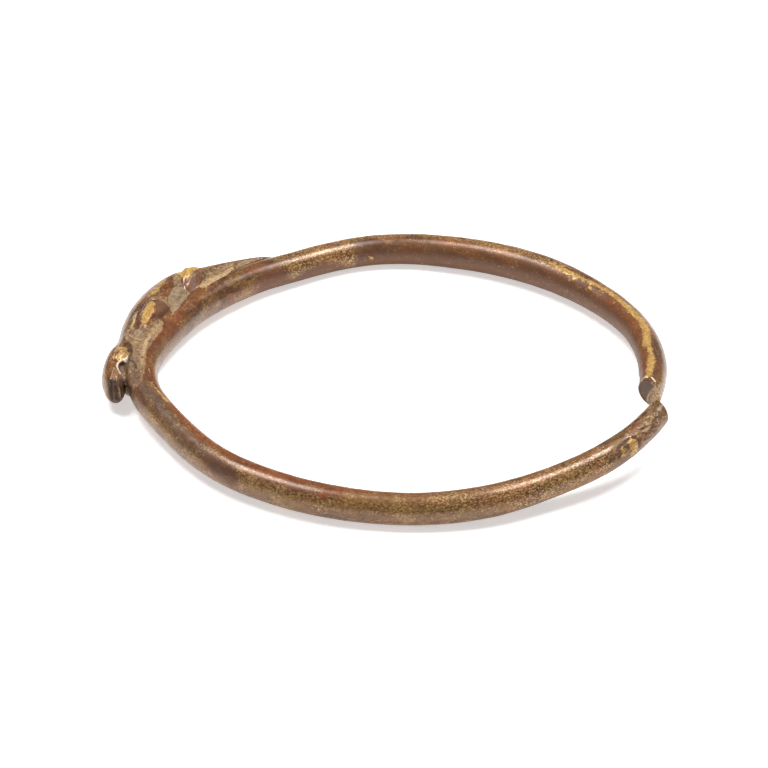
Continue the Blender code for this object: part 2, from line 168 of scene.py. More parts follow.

# The marks of age and wear, among them painted shade, highlights, glints and reflections of the floor, are
# laid over one another in this order: patches, marks on the plain rod, strokes, dots, and marks on the
# end's face. Each begins with its finish, the finish's strength, and its rise and its width in mm.

# Patches on the reptile's upper side: the width is that of the edge, and the outline is given as share of
# the length and distance out in mm
PATCHES = {
    "red_flank": ("warm", 0.35, 0.0, 0.25, (
        (0.490, 3.9), (0.522, 4.1), (0.566, 4.2), (0.615, 4.9), (0.585, 3.4), (0.540, 2.5), (0.500, 2.4))),
    # Painted sheen: a golden-tan highlight along the back's ridge
    "back_gold": ("gold", 0.55, 0.04, 0.25, (
        (0.460, 4.3), (0.492, 4.6), (0.541, 5.0), (0.591, 5.4), (0.605, 5.0), (0.578, 4.2), (0.547, 4.1),
        (0.510, 4.0), (0.484, 4.1))),
    "crust": ("tan", 1.0, 0.04, 0.12, (
        (0.300, 3.2), (0.275, 3.6), (0.250, 3.5), (0.224, 3.0), (0.204, 2.2), (0.175, 1.5), (0.136, 1.2),
        (0.112, 1.3), (0.095, 1.6), (0.070, 1.75), (0.030, 1.95), (-0.010, 1.9), (-0.037, 1.4),
        (-0.032, 0.6), (0.007, 0.0), (0.053, -0.4), (0.126, -0.5), (0.184, -0.4), (0.227, -0.5),
        (0.291, -0.6), (0.320, -0.6), (0.362, -0.1), (0.383, 0.8), (0.353, 1.0), (0.311, 1.0),
        (0.262, 0.9), (0.262, 1.8), (0.284, 2.5))),
    "hollow": ("grey", 0.9, -0.20, 0.18, (
        (0.280, 2.4), (0.284, 1.5), (0.250, 0.8), (0.228, 1.1), (0.232, 1.7), (0.257, 2.3))),
    "leg_dark": ("plum", 0.80, 0.02, 0.14, (
        (0.440, 2.6), (0.462, 2.1), (0.462, 1.2), (0.447, 0.7), (0.420, 0.5), (0.392, 0.7), (0.360, 0.9),
        (0.340, 1.1), (0.345, 1.5), (0.375, 1.7), (0.410, 2.2))),
    "leg_gold": ("gold", 1.0, 0.03, 0.16, (
        (0.440, 3.5), (0.443, 3.0), (0.424, 2.3), (0.399, 1.7), (0.365, 1.6), (0.353, 1.5), (0.331, 1.4),
        (0.313, 1.5), (0.308, 1.9), (0.322, 2.4), (0.354, 2.7), (0.398, 3.3))),
    "tan_band": ("tan", 0.9, 0.03, 0.12, (
        (0.460, 4.1), (0.486, 3.6), (0.498, 2.9), (0.507, 2.2), (0.480, 1.8), (0.478, 2.4), (0.474, 3.0),
        (0.458, 3.8))),
    "grey_crust": ("grey", 1.0, 0.04, 0.12, (
        (0.505, 2.2), (0.545, 2.6), (0.567, 2.9), (0.589, 2.2), (0.588, 1.6), (0.599, 1.2), (0.566, 0.6),
        (0.525, 0.4), (0.496, 0.1), (0.462, -0.2), (0.435, 0.0), (0.461, 0.9), (0.477, 1.6))),
    "pink_crust": ("tan", 0.85, 0.05, 0.12, (
        (0.622, 4.6), (0.636, 4.4), (0.617, 3.4), (0.595, 2.3), (0.567, 2.9), (0.588, 3.6))),
    "hind_gold": ("gold", 1.0, 0.0, 0.15, (
        (0.634, 4.5), (0.652, 5.0), (0.680, 4.8), (0.705, 3.9), (0.700, 2.9), (0.676, 2.6), (0.654, 2.5),
        (0.639, 2.5), (0.627, 2.6), (0.624, 3.0), (0.622, 3.5))),
    # Painted shade on the hind leg's side face
    "hind_shaded_face": ("plum", 0.95, -0.04, 0.12, (
        (0.681, 2.8), (0.685, 2.1), (0.662, 1.5), (0.626, 1.0), (0.600, 1.2), (0.608, 1.8), (0.631, 2.2),
        (0.660, 2.6))),
    "tail_rough": ("tan", 0.8, 0.05, 0.14, (
        (0.680, 2.0), (0.733, 2.6), (0.765, 2.6), (0.799, 2.7), (0.829, 2.5), (0.844, 2.1), (0.820, 1.3),
        (0.767, 1.2), (0.724, 1.2), (0.670, 1.2))),
    "tail_band": ("pale", 0.75, 0.08, 0.12, (
        (0.640, 1.1), (0.690, 1.5), (0.727, 1.45), (0.758, 1.35), (0.793, 1.5), (0.815, 1.4), (0.790, 0.7),
        (0.758, 0.2), (0.718, 0.2), (0.677, 0.2), (0.643, -0.1), (0.632, 0.6))),
    "tail_grey": ("grey", 0.6, 0.03, 0.20, (
        (0.849, 2.3), (0.930, 1.9), (0.944, 1.6), (0.915, 1.4), (0.871, 1.4), (0.831, 1.3))),
    "brow_warm": ("gold", 0.40, 0.0, 0.50, (
        (0.150, 4.0), (0.190, 3.4), (0.190, 2.4), (0.120, 1.6), (0.100, 2.4), (0.088, 3.2), (0.095, 4.0))),
    "brow_gold": ("gold", 0.58, 0.02, 0.20, (
        (0.180, 2.9), (0.172, 2.2), (0.139, 1.7), (0.115, 1.7), (0.106, 2.1), (0.100, 2.7), (0.106, 3.2),
        (0.120, 3.3), (0.133, 2.9), (0.170, 3.1))),
    "cheek": ("dull", 0.7, -0.26, 0.10, (
        (0.112, 1.6), (0.104, 2.1), (0.098, 2.6), (0.086, 2.85), (0.073, 2.95), (0.060, 2.85), (0.045, 2.6),
        (0.030, 2.35), (0.028, 2.05), (0.060, 1.85), (0.085, 1.65))),
}

# Strokes of carving and wear along one path or more: share of the length, then out and up in mm
STROKES = {
    "rod_by_head": ("warm", 0.3, 0.0, 1.0, (
        (0.200, -0.9, 1.8), (0.122, -1.0, 1.75), (0.054, -1.0, 1.8), (-0.020, -0.9, 1.8))),
    "rod_by_back": ("warm", 0.45, 0.0, 0.9, (
        (0.250, -1.0, 1.75), (0.328, -0.8, 1.9), (0.457, -0.6, 1.9), (0.556, -0.7, 1.9),
        (0.620, -0.8, 1.9))),
    # Painted reflection of the pale floor on the rod's lower inner side beside the reptile
    "rod_inside_reflection": ("dull", 0.7, 0.0, 1.2, (
        (0.100, -1.9, 0.6), (0.213, -1.8, 1.0), (0.351, -1.9, 0.7), (0.499, -2.0, 0.5),
        (0.656, -2.0, 0.3))),
    "rod_scratch": ("gold", 0.8, 0.02, 0.14, (
        (0.062, -0.9, 1.85), (0.045, -0.95, 1.85), (0.030, -0.9, 1.85))),
    # Painted shadow: a dark line under the brow's rim
    "shade_under_brow": ("soot", 0.9, -0.12, 0.18, (
        (0.094, 2.5, 1.9), (0.098, 2.0, 2.0), (0.105, 1.6, 2.2), (0.118, 1.4, 2.3))),
    # Painted highlight: a glint along the brow's raised rim
    "brow_rim_glint": ("worn", 1.0, 0.08, 0.27, (
        (0.120, 1.8, 2.4), (0.110, 1.95, 2.3), (0.104, 2.2, 2.15), (0.099, 2.65, 2.2), (0.087, 2.95, 2.2),
        (0.073, 3.1, 2.1), (0.062, 3.0, 1.9), (0.050, 2.8, 1.6))),
    # Painted shade over the snout's lower slope
    "snout_shades": ("soot", 0.88, 0.0, 0.70,
                     ((0.022, 4.0, 1.3), (0.008, 4.2, 0.2), (0.006, 4.1, -0.9)),
                     ((0.028, 2.6, 0.9), (0.020, 2.5, 0.0), (0.020, 2.5, -0.8))),
    "snout_shade_middle": ("soot", 0.85, 0.0, 0.80, (
        (0.018, 3.3, 1.2), (0.004, 3.4, 0.2), (0.002, 3.4, -0.9))),
    # Painted shade in the snout's carved grooves
    "snout_groove_shades": ("soot", 1.0, -0.20, 0.18,
                      ((0.020, 4.15, 1.3), (0.006, 4.2, 0.5), (0.004, 4.2, -0.8)),
                      ((0.016, 3.7, 1.3), (0.003, 3.65, 0.6), (0.0, 3.6, -0.6))),
    "snout_groove_inner_shade": ("soot", 1.0, -0.18, 0.18, (
        (0.024, 2.9, 1.1), (0.008, 2.85, 0.5), (0.003, 2.85, -0.6))),
    "snout_olive": ("olive", 1.0, 0.0, 0.70, (
        (0.063, 4.4, 1.7), (0.045, 4.8, 1.0), (0.024, 4.8, 0.4), (0.030, 4.8, -0.7))),
    "snout_ridge_outer": ("pale", 0.7, 0.07, 0.12, (
        (0.064, 3.5, 2.1), (0.042, 3.9, 1.9), (0.028, 4.1, 1.6))),
    "snout_ridge_inner": ("pale", 0.9, 0.10, 0.13, (
        (0.026, 3.4, 1.6), (0.014, 3.4, 1.1), (0.004, 3.3, 0.6), (0.0, 3.2, 0.1), (0.0, 3.15, -0.5))),
    # Painted highlight: a short glint along the jaw's rim
    "jaw_rim_glint": ("worn", 1.0, 0.08, 0.22, (
        (0.056, 2.3, 1.25), (0.042, 2.3, 1.1), (0.031, 2.3, 0.8), (0.030, 2.3, 0.5))),
    # Painted shade in the gap between the head, the crust and the rod
    "jaw_gap_shade": ("soot", 1.0, -0.14, 0.16, ((0.045, 1.95, 1.95), (0.018, 2.02, 1.7), (0.006, 2.05, 1.0))),
    "gap_shade": ("soot", 1.0, -0.10, 1.00, (
        (0.014, 2.0, 0.9), (-0.002, 1.95, 0.8), (-0.010, 2.0, 0.5), (-0.012, 2.0, 0.0))),
    "gap_line": ("pale", 0.75, 0.05, 0.16, ((0.019, 2.1, 0.8), (0.024, 2.12, 0.1), (0.030, 2.2, -0.6))),
    "crust_shade": ("soot", 0.45, -0.05, 0.28, (
        (0.184, 2.0, 2.3), (0.160, 1.6, 2.4), (0.136, 1.3, 2.4), (0.113, 1.4, 2.25))),
    # Painted shade in the crust's notch
    "crust_notch_shade": ("soot", 1.0, -0.14, 0.26, (
        (0.099, 1.6, 2.1), (0.092, 1.2, 2.35), (0.078, 0.8, 2.25), (0.064, 0.7, 1.95))),
    "crust_low": ("soot", 0.30, 0.0, 1.5, ((0.085, 1.1, 2.3), (0.045, 1.2, 2.1), (0.004, 1.2, 2.0))),
    "crust_margin": ("pale", 0.6, 0.04, 0.50, (
        (0.260, 0.2, 2.3), (0.184, 0.0, 2.3), (0.126, -0.1, 2.3), (0.080, 0.0, 2.2))),
    "crust_top": ("pale", 0.45, 0.0, 0.90, ((0.340, 0.3, 2.2), (0.290, 0.2, 2.3))),
    "crust_ridge": ("pale", 0.9, 0.12, 0.22, (
        (0.251, 3.1, 2.2), (0.230, 2.3, 2.4), (0.219, 1.7, 2.6), (0.212, 0.9, 2.5))),
    "crust_sliver": ("pale", 0.8, 0.10, 0.30, (
        (0.373, 4.0, 2.4), (0.347, 3.7, 2.3), (0.315, 3.35, 2.3), (0.287, 3.25, 2.2), (0.272, 3.4, 2.1))),
    # Painted shade in the fold along the back
    "trunk_fold_shade": ("soot", 0.5, -0.10, 0.16, (
        (0.493, 4.0, 2.6), (0.473, 4.15, 2.5), (0.440, 4.0, 2.6), (0.372, 3.6, 2.5), (0.345, 3.3, 2.4))),
    # Painted highlight: a light line along the trunk's edge
    "trunk_edge_highlight": ("dull", 0.7, 0.05, 0.18, (
        (0.456, 4.3, 2.55), (0.407, 4.15, 2.4), (0.367, 4.0, 2.4), (0.324, 3.9, 2.2))),
    "leg_tip": ("warm", 0.7, 0.06, 0.20, (
        (0.317, 2.4, 2.7), (0.306, 2.3, 2.5), (0.292, 1.9, 2.5), (0.300, 1.5, 2.6), (0.312, 1.3, 2.5))),
    "leg_edge": ("warm", 1.0, 0.02, 0.24, (
        (0.408, 2.0, 3.1), (0.389, 1.6, 3.0), (0.360, 1.5, 2.75), (0.340, 1.4, 2.6), (0.320, 1.3, 2.6),
        (0.304, 1.4, 2.6))),
    # Painted shadow in the gap under the front foot
    "shade_under_leg": ("soot", 1.0, -0.30, 0.22, (
        (0.286, 2.1, 2.3), (0.287, 1.6, 2.4), (0.290, 1.3, 2.4), (0.277, 0.8, 2.5))),
    "leg_line": ("pale", 1.0, 0.05, 0.13, (
        (0.458, 3.8, 2.7), (0.470, 3.0, 2.7), (0.474, 2.2, 2.6), (0.460, 1.4, 2.65), (0.454, 0.9, 2.3),
        (0.441, 0.3, 2.1), (0.433, -0.1, 2.0))),
    # Painted highlight: a glint on the hind leg's front edge
    "hind_edge_glint": ("worn", 1.0, 0.06, 0.17, ((0.624, 3.0, 2.85), (0.602, 2.3, 2.4), (0.587, 1.7, 2.1))),
    "hind_warm": ("warm", 1.0, 0.0, 0.28, ((0.630, 2.5, 2.85), (0.614, 2.0, 2.5), (0.600, 1.7, 2.2))),
    "tail_bright": ("pale", 1.0, 0.05, 0.50, (
        (0.660, 0.8, 2.2), (0.700, 1.0, 2.1), (0.735, 1.0, 1.95), (0.770, 1.1, 1.9), (0.812, 1.4, 1.85))),
    "tail_line": ("pale", 0.6, 0.03, 0.13, (
        (0.831, 1.3, 1.7), (0.871, 1.4, 1.7), (0.915, 1.5, 1.7), (0.944, 1.6, 1.6))),
}

# Small round marks: the width is their radius, and their places are given like the strokes'
DOTS = {
    "crust_pits": ("soot", 0.9, -0.14, 0.22, (
        (0.052, 1.3, 2.1), (0.040, 0.5, 2.0), (0.020, 1.75, 2.0), (0.0, 1.45, 2.0), (0.088, 1.5, 2.1),
        (0.048, 1.0, 2.1), (0.025, 0.35, 1.9), (0.062, 1.6, 2.0), (-0.018, 1.2, 1.9),
        (0.060, 0.9, 2.1), (0.030, 1.5, 2.2), (0.015, 1.2, 2.2), (0.011, 0.6, 2.0), (-0.010, 0.9, 1.9),
        (0.071, 0.3, 2.1), (0.144, 0.6, 2.5), (0.105, 0.7, 2.4), (0.120, 0.0, 2.2), (0.243, 1.6, 2.3),
        (0.268, 1.4, 2.2), (0.263, 2.0, 2.4), (0.205, 1.6, 2.4), (0.180, 0.9, 2.5), (0.225, -0.2, 2.1),
        (0.705, 2.0, 2.3), (0.722, 2.3, 2.3), (0.752, 2.2, 2.2), (0.690, 1.7, 2.4), (0.780, 2.3, 2.1))),
    "crust_lights": ("pale", 0.9, 0.08, 0.22, (
        (0.056, 1.1, 2.1), (0.012, 1.5, 2.0), (0.034, 1.5, 2.1), (-0.004, 1.0, 1.9), (0.080, 1.5, 2.1),
        (0.075, 1.9, 1.7), (0.048, 0.7, 2.1), (0.024, 0.9, 2.1), (0.036, 0.2, 2.0), (0.205, 2.5, 2.3),
        (0.190, 0.2, 2.4), (0.805, 2.2, 2.0), (0.760, 2.5, 2.1), (0.820, 1.9, 1.9), (0.525, 1.3, 2.1),
        (0.470, 0.4, 2.1))),
    # Painted highlights: glints on small raised points of the feet, legs and snout
    "glints": ("worn", 1.0, 0.06, 0.17, (
        (0.295, 2.0, 2.6), (0.302, 1.5, 2.6), (0.492, 3.7, 2.7), (0.631, 3.7, 2.8), (0.633, 3.0, 3.0),
        (0.028, 4.1, 1.6))),
    "rod_specks": ("gold", 0.9, 0.02, 0.20, (
        (0.420, -1.5, 1.4), (0.400, -1.4, 1.4), (0.777, -2.1, 0.3), (0.404, 0.5, 2.0))),
}

# Marks on the plain rod along one path or more: the angle in the ring and the turn round the rod, both in
# degrees, with 0 facing out of the ring and 90 facing up
ROD_MARKS = {
    # Zones of the patina
    "left_zone": ("plum", 0.40, 0.0, 2.4, (
        (190, 70), (198, 66), (206, 58), (214, 50), (222, 44), (230, 36))),
    "red_zone": ("warm", 0.85, 0.0, 1.6, (
        (236, 76), (243, 56), (250, 48), (257, 50), (264, 60), (272, 68), (282, 76), (292, 84))),
    "low_zone": ("olive", 0.6, 0.0, 1.8, ((230, -4), (245, -8), (260, -8), (280, -5), (300, 0), (316, 5))),
    "gold_zone": ("olive", 0.8, 0.0, 2.8, (
        (262, 40), (272, 36), (284, 40), (296, 40), (308, 38), (316, 38))),
    "back_zone": ("plum", 0.85, 0.0, 3.2, (
        (128, 196), (110, 198), (90, 198), (70, 196), (50, 192), (30, 184), (12, 176), (0, 170),
        (-9, 170))),
    "right_zone": ("plum", 0.7, 0.0, 2.8, (
        (56, 166), (44, 156), (32, 150), (20, 146), (8, 144), (-4, 142), (-10, 142))),
    "strip_red": ("warm", 0.75, 0.0, 1.1, (
        (28, 116), (20, 114), (12, 116), (4, 124), (-3, 120), (-9, 124))),
    "back_red_zone": ("warm", 0.25, 0.0, 1.3, ((76, 132), (60, 130), (45, 126), (30, 122), (16, 120))),
    "back_edge_zone": ("olive", 0.9, 0.0, 1.2, (
        (122, 78), (112, 74), (100, 70), (88, 70), (76, 74), (66, 80), (56, 86), (46, 92))),
    # Painted reflection of the pale floor along the front's lower outer side
    "front_low_reflection": ("dull", 0.6, 0.0, 1.3, (
        (206, -4), (218, -8), (232, -12), (246, -16), (262, -20), (278, -20), (290, -16))),
    "front_drift_left": ("fleck", 0.9, 0.0, 1.0, ((234, 36), (240, 30), (246, 26), (252, 30))),
    "front_drift_middle": ("fleck", 0.9, 0.0, 1.2, ((256, 34), (262, 28), (268, 30), (274, 38), (280, 46))),
    "front_drifts_right": ("fleck", 1.0, 0.0, 1.9,
                           ((278, 62), (283, 60), (290, 55), (297, 50), (306, 45)),
                           ((294, 22), (302, 24), (309, 38), (316, 46))),
    "back_drift": ("fleck", 1.0, 0.0, 1.8, (
        (119.0, 158), (115.4, 141), (110.8, 134), (106.0, 142), (103.5, 160), (102.9, 175))),
    "back_edge": ("fleck", 1.0, 0.0, 1.2, (
        (122, 82), (112, 78), (100, 74), (88, 74), (76, 78), (66, 84), (56, 92), (46, 98))),
    "red_edge_low": ("warm", 0.9, 0.0, 0.80, (
        (190, 128), (194, 128), (198, 124), (204, 116), (210, 112), (217, 105), (223, 101), (230, 98))),
    "red_edge_high": ("warm", 0.8, 0.0, 0.70, (
        (226, 100), (232, 97), (239, 93), (246, 92), (255, 93), (264, 98))),
    # Painted sheen: greyish film that whitens the highlight on the front left
    "sheen_left": ("dull", 0.6, 0.0, 0.80, ((222, 66), (232, 62), (242, 58), (252, 58))),
    "gold_edge": ("gold", 0.75, 0.03, 0.30, ((193.2, 108), (195.5, 106), (197.4, 110), (200.2, 110))),
    "gold_edge_end": ("gold", 1.0, 0.04, 0.38, ((200.2, 110), (202.0, 111))),
    "tan_fleck_top": ("tan", 1.0, 0.03, 0.28, ((208.2, 91), (208.8, 90))),
    "tan_fleck_by_head": ("tan", 0.9, 0.03, 0.28, ((193.2, 88), (193.7, 86))),
    "tan_fleck_faint": ("tan", 0.6, 0.02, 0.30, ((202.8, 64), (203.8, 56))),
    "tan_fleck_outside": ("tan", 0.9, 0.03, 0.30, ((191.5, 42), (192.5, 36))),
    "grey_band": ("dull", 0.8, 0.0, 1.5, (
        (194.4, 77), (200.6, 72), (206.9, 62), (212.3, 54), (217.2, 47), (221.8, 44), (225.2, 44))),
    "olive_low_left": ("olive", 0.7, 0.0, 1.2, (
        (200.7, 33), (205.2, 25), (210.3, 16), (216.1, 10), (220.5, 15), (225.6, 12))),
    "olive_low_middle": ("olive", 0.8, 0.0, 1.1, (
        (233.8, 22), (238.9, 20), (247.2, 12), (253.9, 14), (259.1, 30), (264.3, 34), (270.6, 30),
        (276.7, 35))),
    "dark_zone": ("plum", 0.8, 0.0, 1.7, ((226.6, 38), (229.2, 32), (231.6, 22), (232.6, 12))),
    "dark_spot": ("soot", 0.35, 0.0, 1.2, ((228.0, 36), (230.0, 32), (231.8, 28))),
    "strip_start": ("gold", 0.62, 0.0, 0.55, (
        (50, 104), (45.8, 106), (41.6, 106), (36.7, 101), (33.4, 95))),
    "strip_middle": ("gold", 0.70, 0.03, 0.62, (
        (36.7, 101), (33.4, 95), (29.1, 90), (25.4, 92), (20.6, 94))),
    "strip_wide": ("gold", 0.74, 0.05, 0.85, (
        (22.0, 92), (18.0, 90), (15.2, 86), (10.3, 88), (5.6, 98), (3.1, 108))),
    "strip_inner": ("gold", 0.8, 0.05, 0.30, ((7.0, 110), (5.0, 118), (3.6, 122))),
    "strip_neck": ("gold", 0.72, 0.04, 0.56, ((5.6, 98), (0.8, 100), (-3.9, 96))),
    "strip_end": ("gold", 0.76, 0.05, 0.80, ((-2.0, 97), (-5.6, 100), (-8.6, 103), (-10.6, 100))),
    "large_flecks": ("gold", 1.0, 0.05, 0.34, ((38.9, 109), (38.3, 110)), ((35.5, 121), (34.9, 123))),
    "high_fleck": ("gold", 1.0, 0.05, 0.30, ((44.6, 114), (43.9, 116))),
    "flecks": ("gold", 0.9, 0.04, 0.26, ((41.0, 123), (41.9, 136)), ((41.4, 113), (40.9, 115))),
    "small_fleck": ("gold", 0.9, 0.04, 0.24, ((47.0, 112), (46.6, 114))),
    "faint_fleck": ("gold", 0.8, 0.03, 0.24, ((36.2, 133), (35.8, 136))),
    "lone_fleck": ("gold", 0.9, 0.04, 0.22, ((25.9, 118), (25.6, 118))),
    "back_flecks": ("gold", 0.8, 0.03, 0.28, ((103.2, 178), (102.4, 180)), ((97.2, 176), (96.7, 182))),

    # The back end: a bright rim round the cut, and what runs over it on to the end's face
    # The back end's rim is rubbed metal with a painted highlight along it
    "back_rim_inner_glint": ("worn", 1.0, 0.06, 0.22, ((-12.0, 139), (-11.2, 130), (-11.0, 119), (-11.6, 106))),
    "back_rim_outer_glint": ("worn", 1.0, 0.06, 0.24, ((-11.6, 88), (-12.4, 76), (-13.0, 66))),
    "back_ridge_top": ("pale", 0.8, 0.10, 0.28, ((-10.4, 32), (-11.1, 36), (-12.8, 48), (-14.4, 56))),
    "back_olive_side": ("olive", 1.0, 0.0, 1.1, ((-11.6, 14), (-12.8, 26), (-13.8, 38))),

    # The front end: pits, ridges and patches of thin patina
    "front_patch": ("olive", 0.9, 0.02, 2.2, ((320.2, 30), (322.0, 20), (324.0, 8))),
    "front_rough": ("tan", 0.50, 0.0, 2.8, (
        (319.6, 30), (322.0, 30), (325.0, 30), (328.0, 42), (330.5, 46))),
    "front_patch_gold": ("gold", 0.65, 0.04, 1.50, ((322.4, 38), (322.7, 28), (322.5, 14))),
    "front_patch_low": ("gold", 0.65, 0.05, 0.50, ((319.4, 42), (319.5, 28), (318.9, 14))),
    "front_chip": ("pale", 0.9, 0.10, 0.24, ((324.4, 58), (324.1, 47), (323.7, 36))),
    "front_chip_small": ("worn", 0.7, 0.06, 0.20, ((323.0, 62), (322.9, 60))),
    # Painted highlight: a glint on the front end
    "front_glint": ("worn", 0.8, 0.06, 0.16, ((322.0, 64), (321.3, 50), (320.9, 44))),
    "front_pit_by_glint": ("soot", 0.9, -0.20, 0.26, ((322.0, 56), (320.8, 50), (320.3, 38), (320.2, 20))),
    "front_pit_long": ("soot", 0.7, -0.18, 0.24, ((320.0, 54), (318.9, 44), (318.3, 30), (318.0, 12))),
    "front_pit_last": ("soot", 0.6, -0.12, 0.30, ((317.6, 30), (317.0, 26), (316.0, 24))),
    "front_pit_by_chip": ("soot", 0.6, -0.16, 0.22, ((323.0, 50), (323.7, 42), (323.8, 24), (323.4, 4))),
    "front_curls_high": ("pale", 0.8, 0.11, 0.22,
                         ((325.6, 72), (326.6, 62), (327.6, 70), (328.2, 64)),
                         ((327.6, 58), (328.4, 50), (329.2, 58)),
                         ((329.2, 80), (330.2, 70), (330.0, 58)),
                         ((325.8, 48), (326.8, 40), (328.0, 44))),
    "front_curls_middle": ("pale", 0.7, 0.10, 0.22,
                           ((331.2, 72), (332.0, 60), (331.4, 50)),
                           ((328.8, 40), (330.0, 32), (331.2, 40)),
                           ((325.8, 26), (327.0, 18), (328.4, 26))),
    "front_curls_low": ("pale", 0.6, 0.09, 0.22,
                        ((329.4, 20), (330.4, 12), (331.2, 20)),
                        ((325.6, 8), (327.2, 2), (328.6, 8))),
    "front_hollows": ("soot", 0.5, -0.10, 0.24,
                      ((326.0, 56), (327.0, 52)),
                      ((328.6, 70), (329.2, 66)),
                      ((330.6, 48), (331.0, 44)),
                      ((327.0, 30), (328.6, 34))),
    "front_hollow_low": ("soot", 0.4, -0.10, 0.24, ((329.2, 10), (328.2, 16))),
    "front_dull": ("dull", 0.6, 0.0, 1.4, ((333, 60), (330, 20), (324, 0))),
}

# Marks on the back end's face: the path as distance out and up in mm
END_MARKS = {
    "back_face": ("plum", 1.0, -0.05, 4.2, ((-0.8, 0.3), (-0.1, -0.4))),
    "back_face_dirt": ("soot", 0.7, -0.12, 1.7, ((-1.2, 0.4), (-0.7, -0.4), (-0.2, 0.8))),
    "back_olive": ("olive", 1.0, 0.04, 1.2, ((1.8, 0.8), (1.2, 0.4), (0.7, -0.4), (0.6, -1.4))),
    "back_ridge": ("pale", 0.8, 0.12, 0.24, (
        (1.4, 1.0), (0.9, 1.3), (0.5, 0.9), (0.1, 0.2), (-0.3, -0.7), (-0.2, -1.1))),
}

# The finishes that marks lay over the plain patina. The greyish film also paints reflections of the floor
# and sheen, the worn edges also paint glints, and the soot also paints shade.
FINISHES = ("warm", "olive", "dull", "plum", "fleck", "tan", "grey", "pale", "gold", "worn", "soot")

# How the marks are laid: the share of its width over which a mark is at full strength, and how far and how
# widely, in mm, its edge wanders. Patches fade in as the skin turns upward, and marks on the end's face as
# it turns to face the end, within so many mm of it.
FULL_SHARE = 0.25
EDGE_WANDER = 0.12
EDGE_WANDER_SIZE = 0.40
UPPER_SIDE_FACING = (-0.15, 0.15)
END_FACING = (0.15, 0.45)
END_FACE_REACH = 2.4

# Grains of the crust: how crusty each finish is, then lumps and pits with their width in mm, their share of
# the grains' height, the noise's octaves and its seed, then the noise's levels between which a pit opens,
# and the dirt in it
CRUSTINESS = {"tan": 1.0, "grey": 0.3, "pale": 0.5}
CRUST_LUMPS = ((0.30, 1.0, 3, 5.0), (0.85, 1.2, 3, 11.0))
CRUST_PITS = (0.50, 1.8, 2, 9.0)
PIT_LEVELS = (0.25, 0.55)
PIT_DIRT = 0.7

# Hollows of the reptile's skin are darkened as painted shade: rounds of averaging, and the depth in mm from
# which they are
HOLLOW_ROUNDS = 3
HOLLOW_DEPTH = (0.006, 0.05)

# Noise of the patina: the width of a blot in mm, detail, roughness, and the blot's stretch along the rod
CLOUDS = {
    "wide": (2.4, 4.0, 0.55, 2.2),
    "green": (2.0, 4.0, 0.6, 1.8),
    "drift": (1.5, 4.0, 0.6, 1.6),
    "middle": (0.60, 4.0, 0.6, 1.5),
    "fine": (0.20, 5.0, 0.85, 1.4),
    "finest": (0.07, 2.0, 0.6, 1.0),
}

# Levels of a noise or a mark between which each part of the finish comes in, then its share below and above
# them where that isn't 0 and 1
LEVELS = {
    "red_brown": (0.42, 0.60),
    "red_brown_blots": (0.35, 0.70, -0.25, 0.35),
    "green": (0.44, 0.66),
    "green_blots": (0.30, 0.60, 0.35, 0.85),
    "dull_blots": (0.3, 0.65, 0.5, 0.9),
    "warm_blots": (0.30, 0.60, 0.55, 1.0),
    "olive_blots": (0.30, 0.58, 0.35, 1.0),
    "drifts": (0.46, 0.62, 0.06, 0.7),
    "flecks": (0.49, 0.59),
    "flecks_on_plum": (0.0, 0.8, 1.0, 0.15),
    "flecks_on_warm": (0.0, 0.9, 1.0, 0.45),
    "pits": (0.46, 0.36, 0.0, 0.6),
    "crust_blots": (0.36, 0.60, -0.2, 0.6),
    "crust_grains": (0.34, 0.60, 0.0, 0.6),
    "pale_grains": (0.40, 0.60),
    "crust_specks": (0.45, 0.37, 0.0, 0.8),
    "tan_edge": (0.3, 0.7, -0.18, 0.18),
    "tan": (0.32, 0.55),
    "grey_edge": (0.3, 0.7, -0.12, 0.12),
    "grey": (0.32, 0.55),
    "pale_edge": (0.3, 0.7, -0.12, 0.12),
    "pale": (0.30, 0.60),
    "scuffs": (0.36, 0.64, -0.38, 0.38),
    "gold_edge": (0.36, 0.62, -0.22, 0.16),
    "gold": (0.38, 0.72),
    "bright_grains": (0.36, 0.60, 0.0, 0.7),
    "bright_blots": (0.4, 0.7, -0.1, 0.5),
    "sparkle": (0.53, 0.61, 0.0, 0.4),
    "worn": (0.40, 0.85),
    "dirt_blots": (0.2, 0.6, 0.75, 1.0),
    "gloss": (0.3, 0.7, 0.24, 0.34),
}

# Shares of the flecks that olive patina has of its own, of the scuffs on worn edges and of the painted
# shade in hollows
OLIVE_FLECKS = 0.3
WORN_SCUFFS = 0.5
HOLLOW_SHADE = 0.6

# How metallic and how rough the patina and, in this order, the finishes over it are
PATINA_METAL = 0.15
METAL = {"crust": 0.0, "gold": 0.3, "worn": 0.1, "dirt": 0.0}
ROUGHNESS = {"crust": 0.85, "plum": 0.55, "gold": 0.40, "worn": 0.22, "dirt": 0.7}

# The finest grains, too small for the mesh: their height, and their share where there is no crust
SMOOTH_RELIEF = 0.4
BUMP_STRENGTH = 0.4
BUMP_HEIGHT = 0.05 * MM

# Lamps: angle round the ring and height above it in degrees, distance, width and height in m, and their
# share of the lamps' power
LAMPS = {
    "softbox_left": (152.0, 65.0, 0.60, 0.20, 0.20, 1.30),
    "softbox_right": (28.0, 65.0, 0.60, 0.20, 0.20, 1.70),
    "overhead": (90.0, 80.0, 0.70, 0.90, 0.90, 0.2),
}

# The lens's length and the width of the picture behind it in mm, what the camera looks at, and the paper
LENS = 203.03
SENSOR_WIDTH = 36.0
CAMERA_TARGET = Vector((-0.107, -3.665, 2.4)) * MM
PAPER_COLOUR = (0.9, 0.9, 0.9)
PAPER_ROUGHNESS = 0.9
PAPER_GLOSS = 0.1
WHITE = (1.0, 1.0, 1.0)

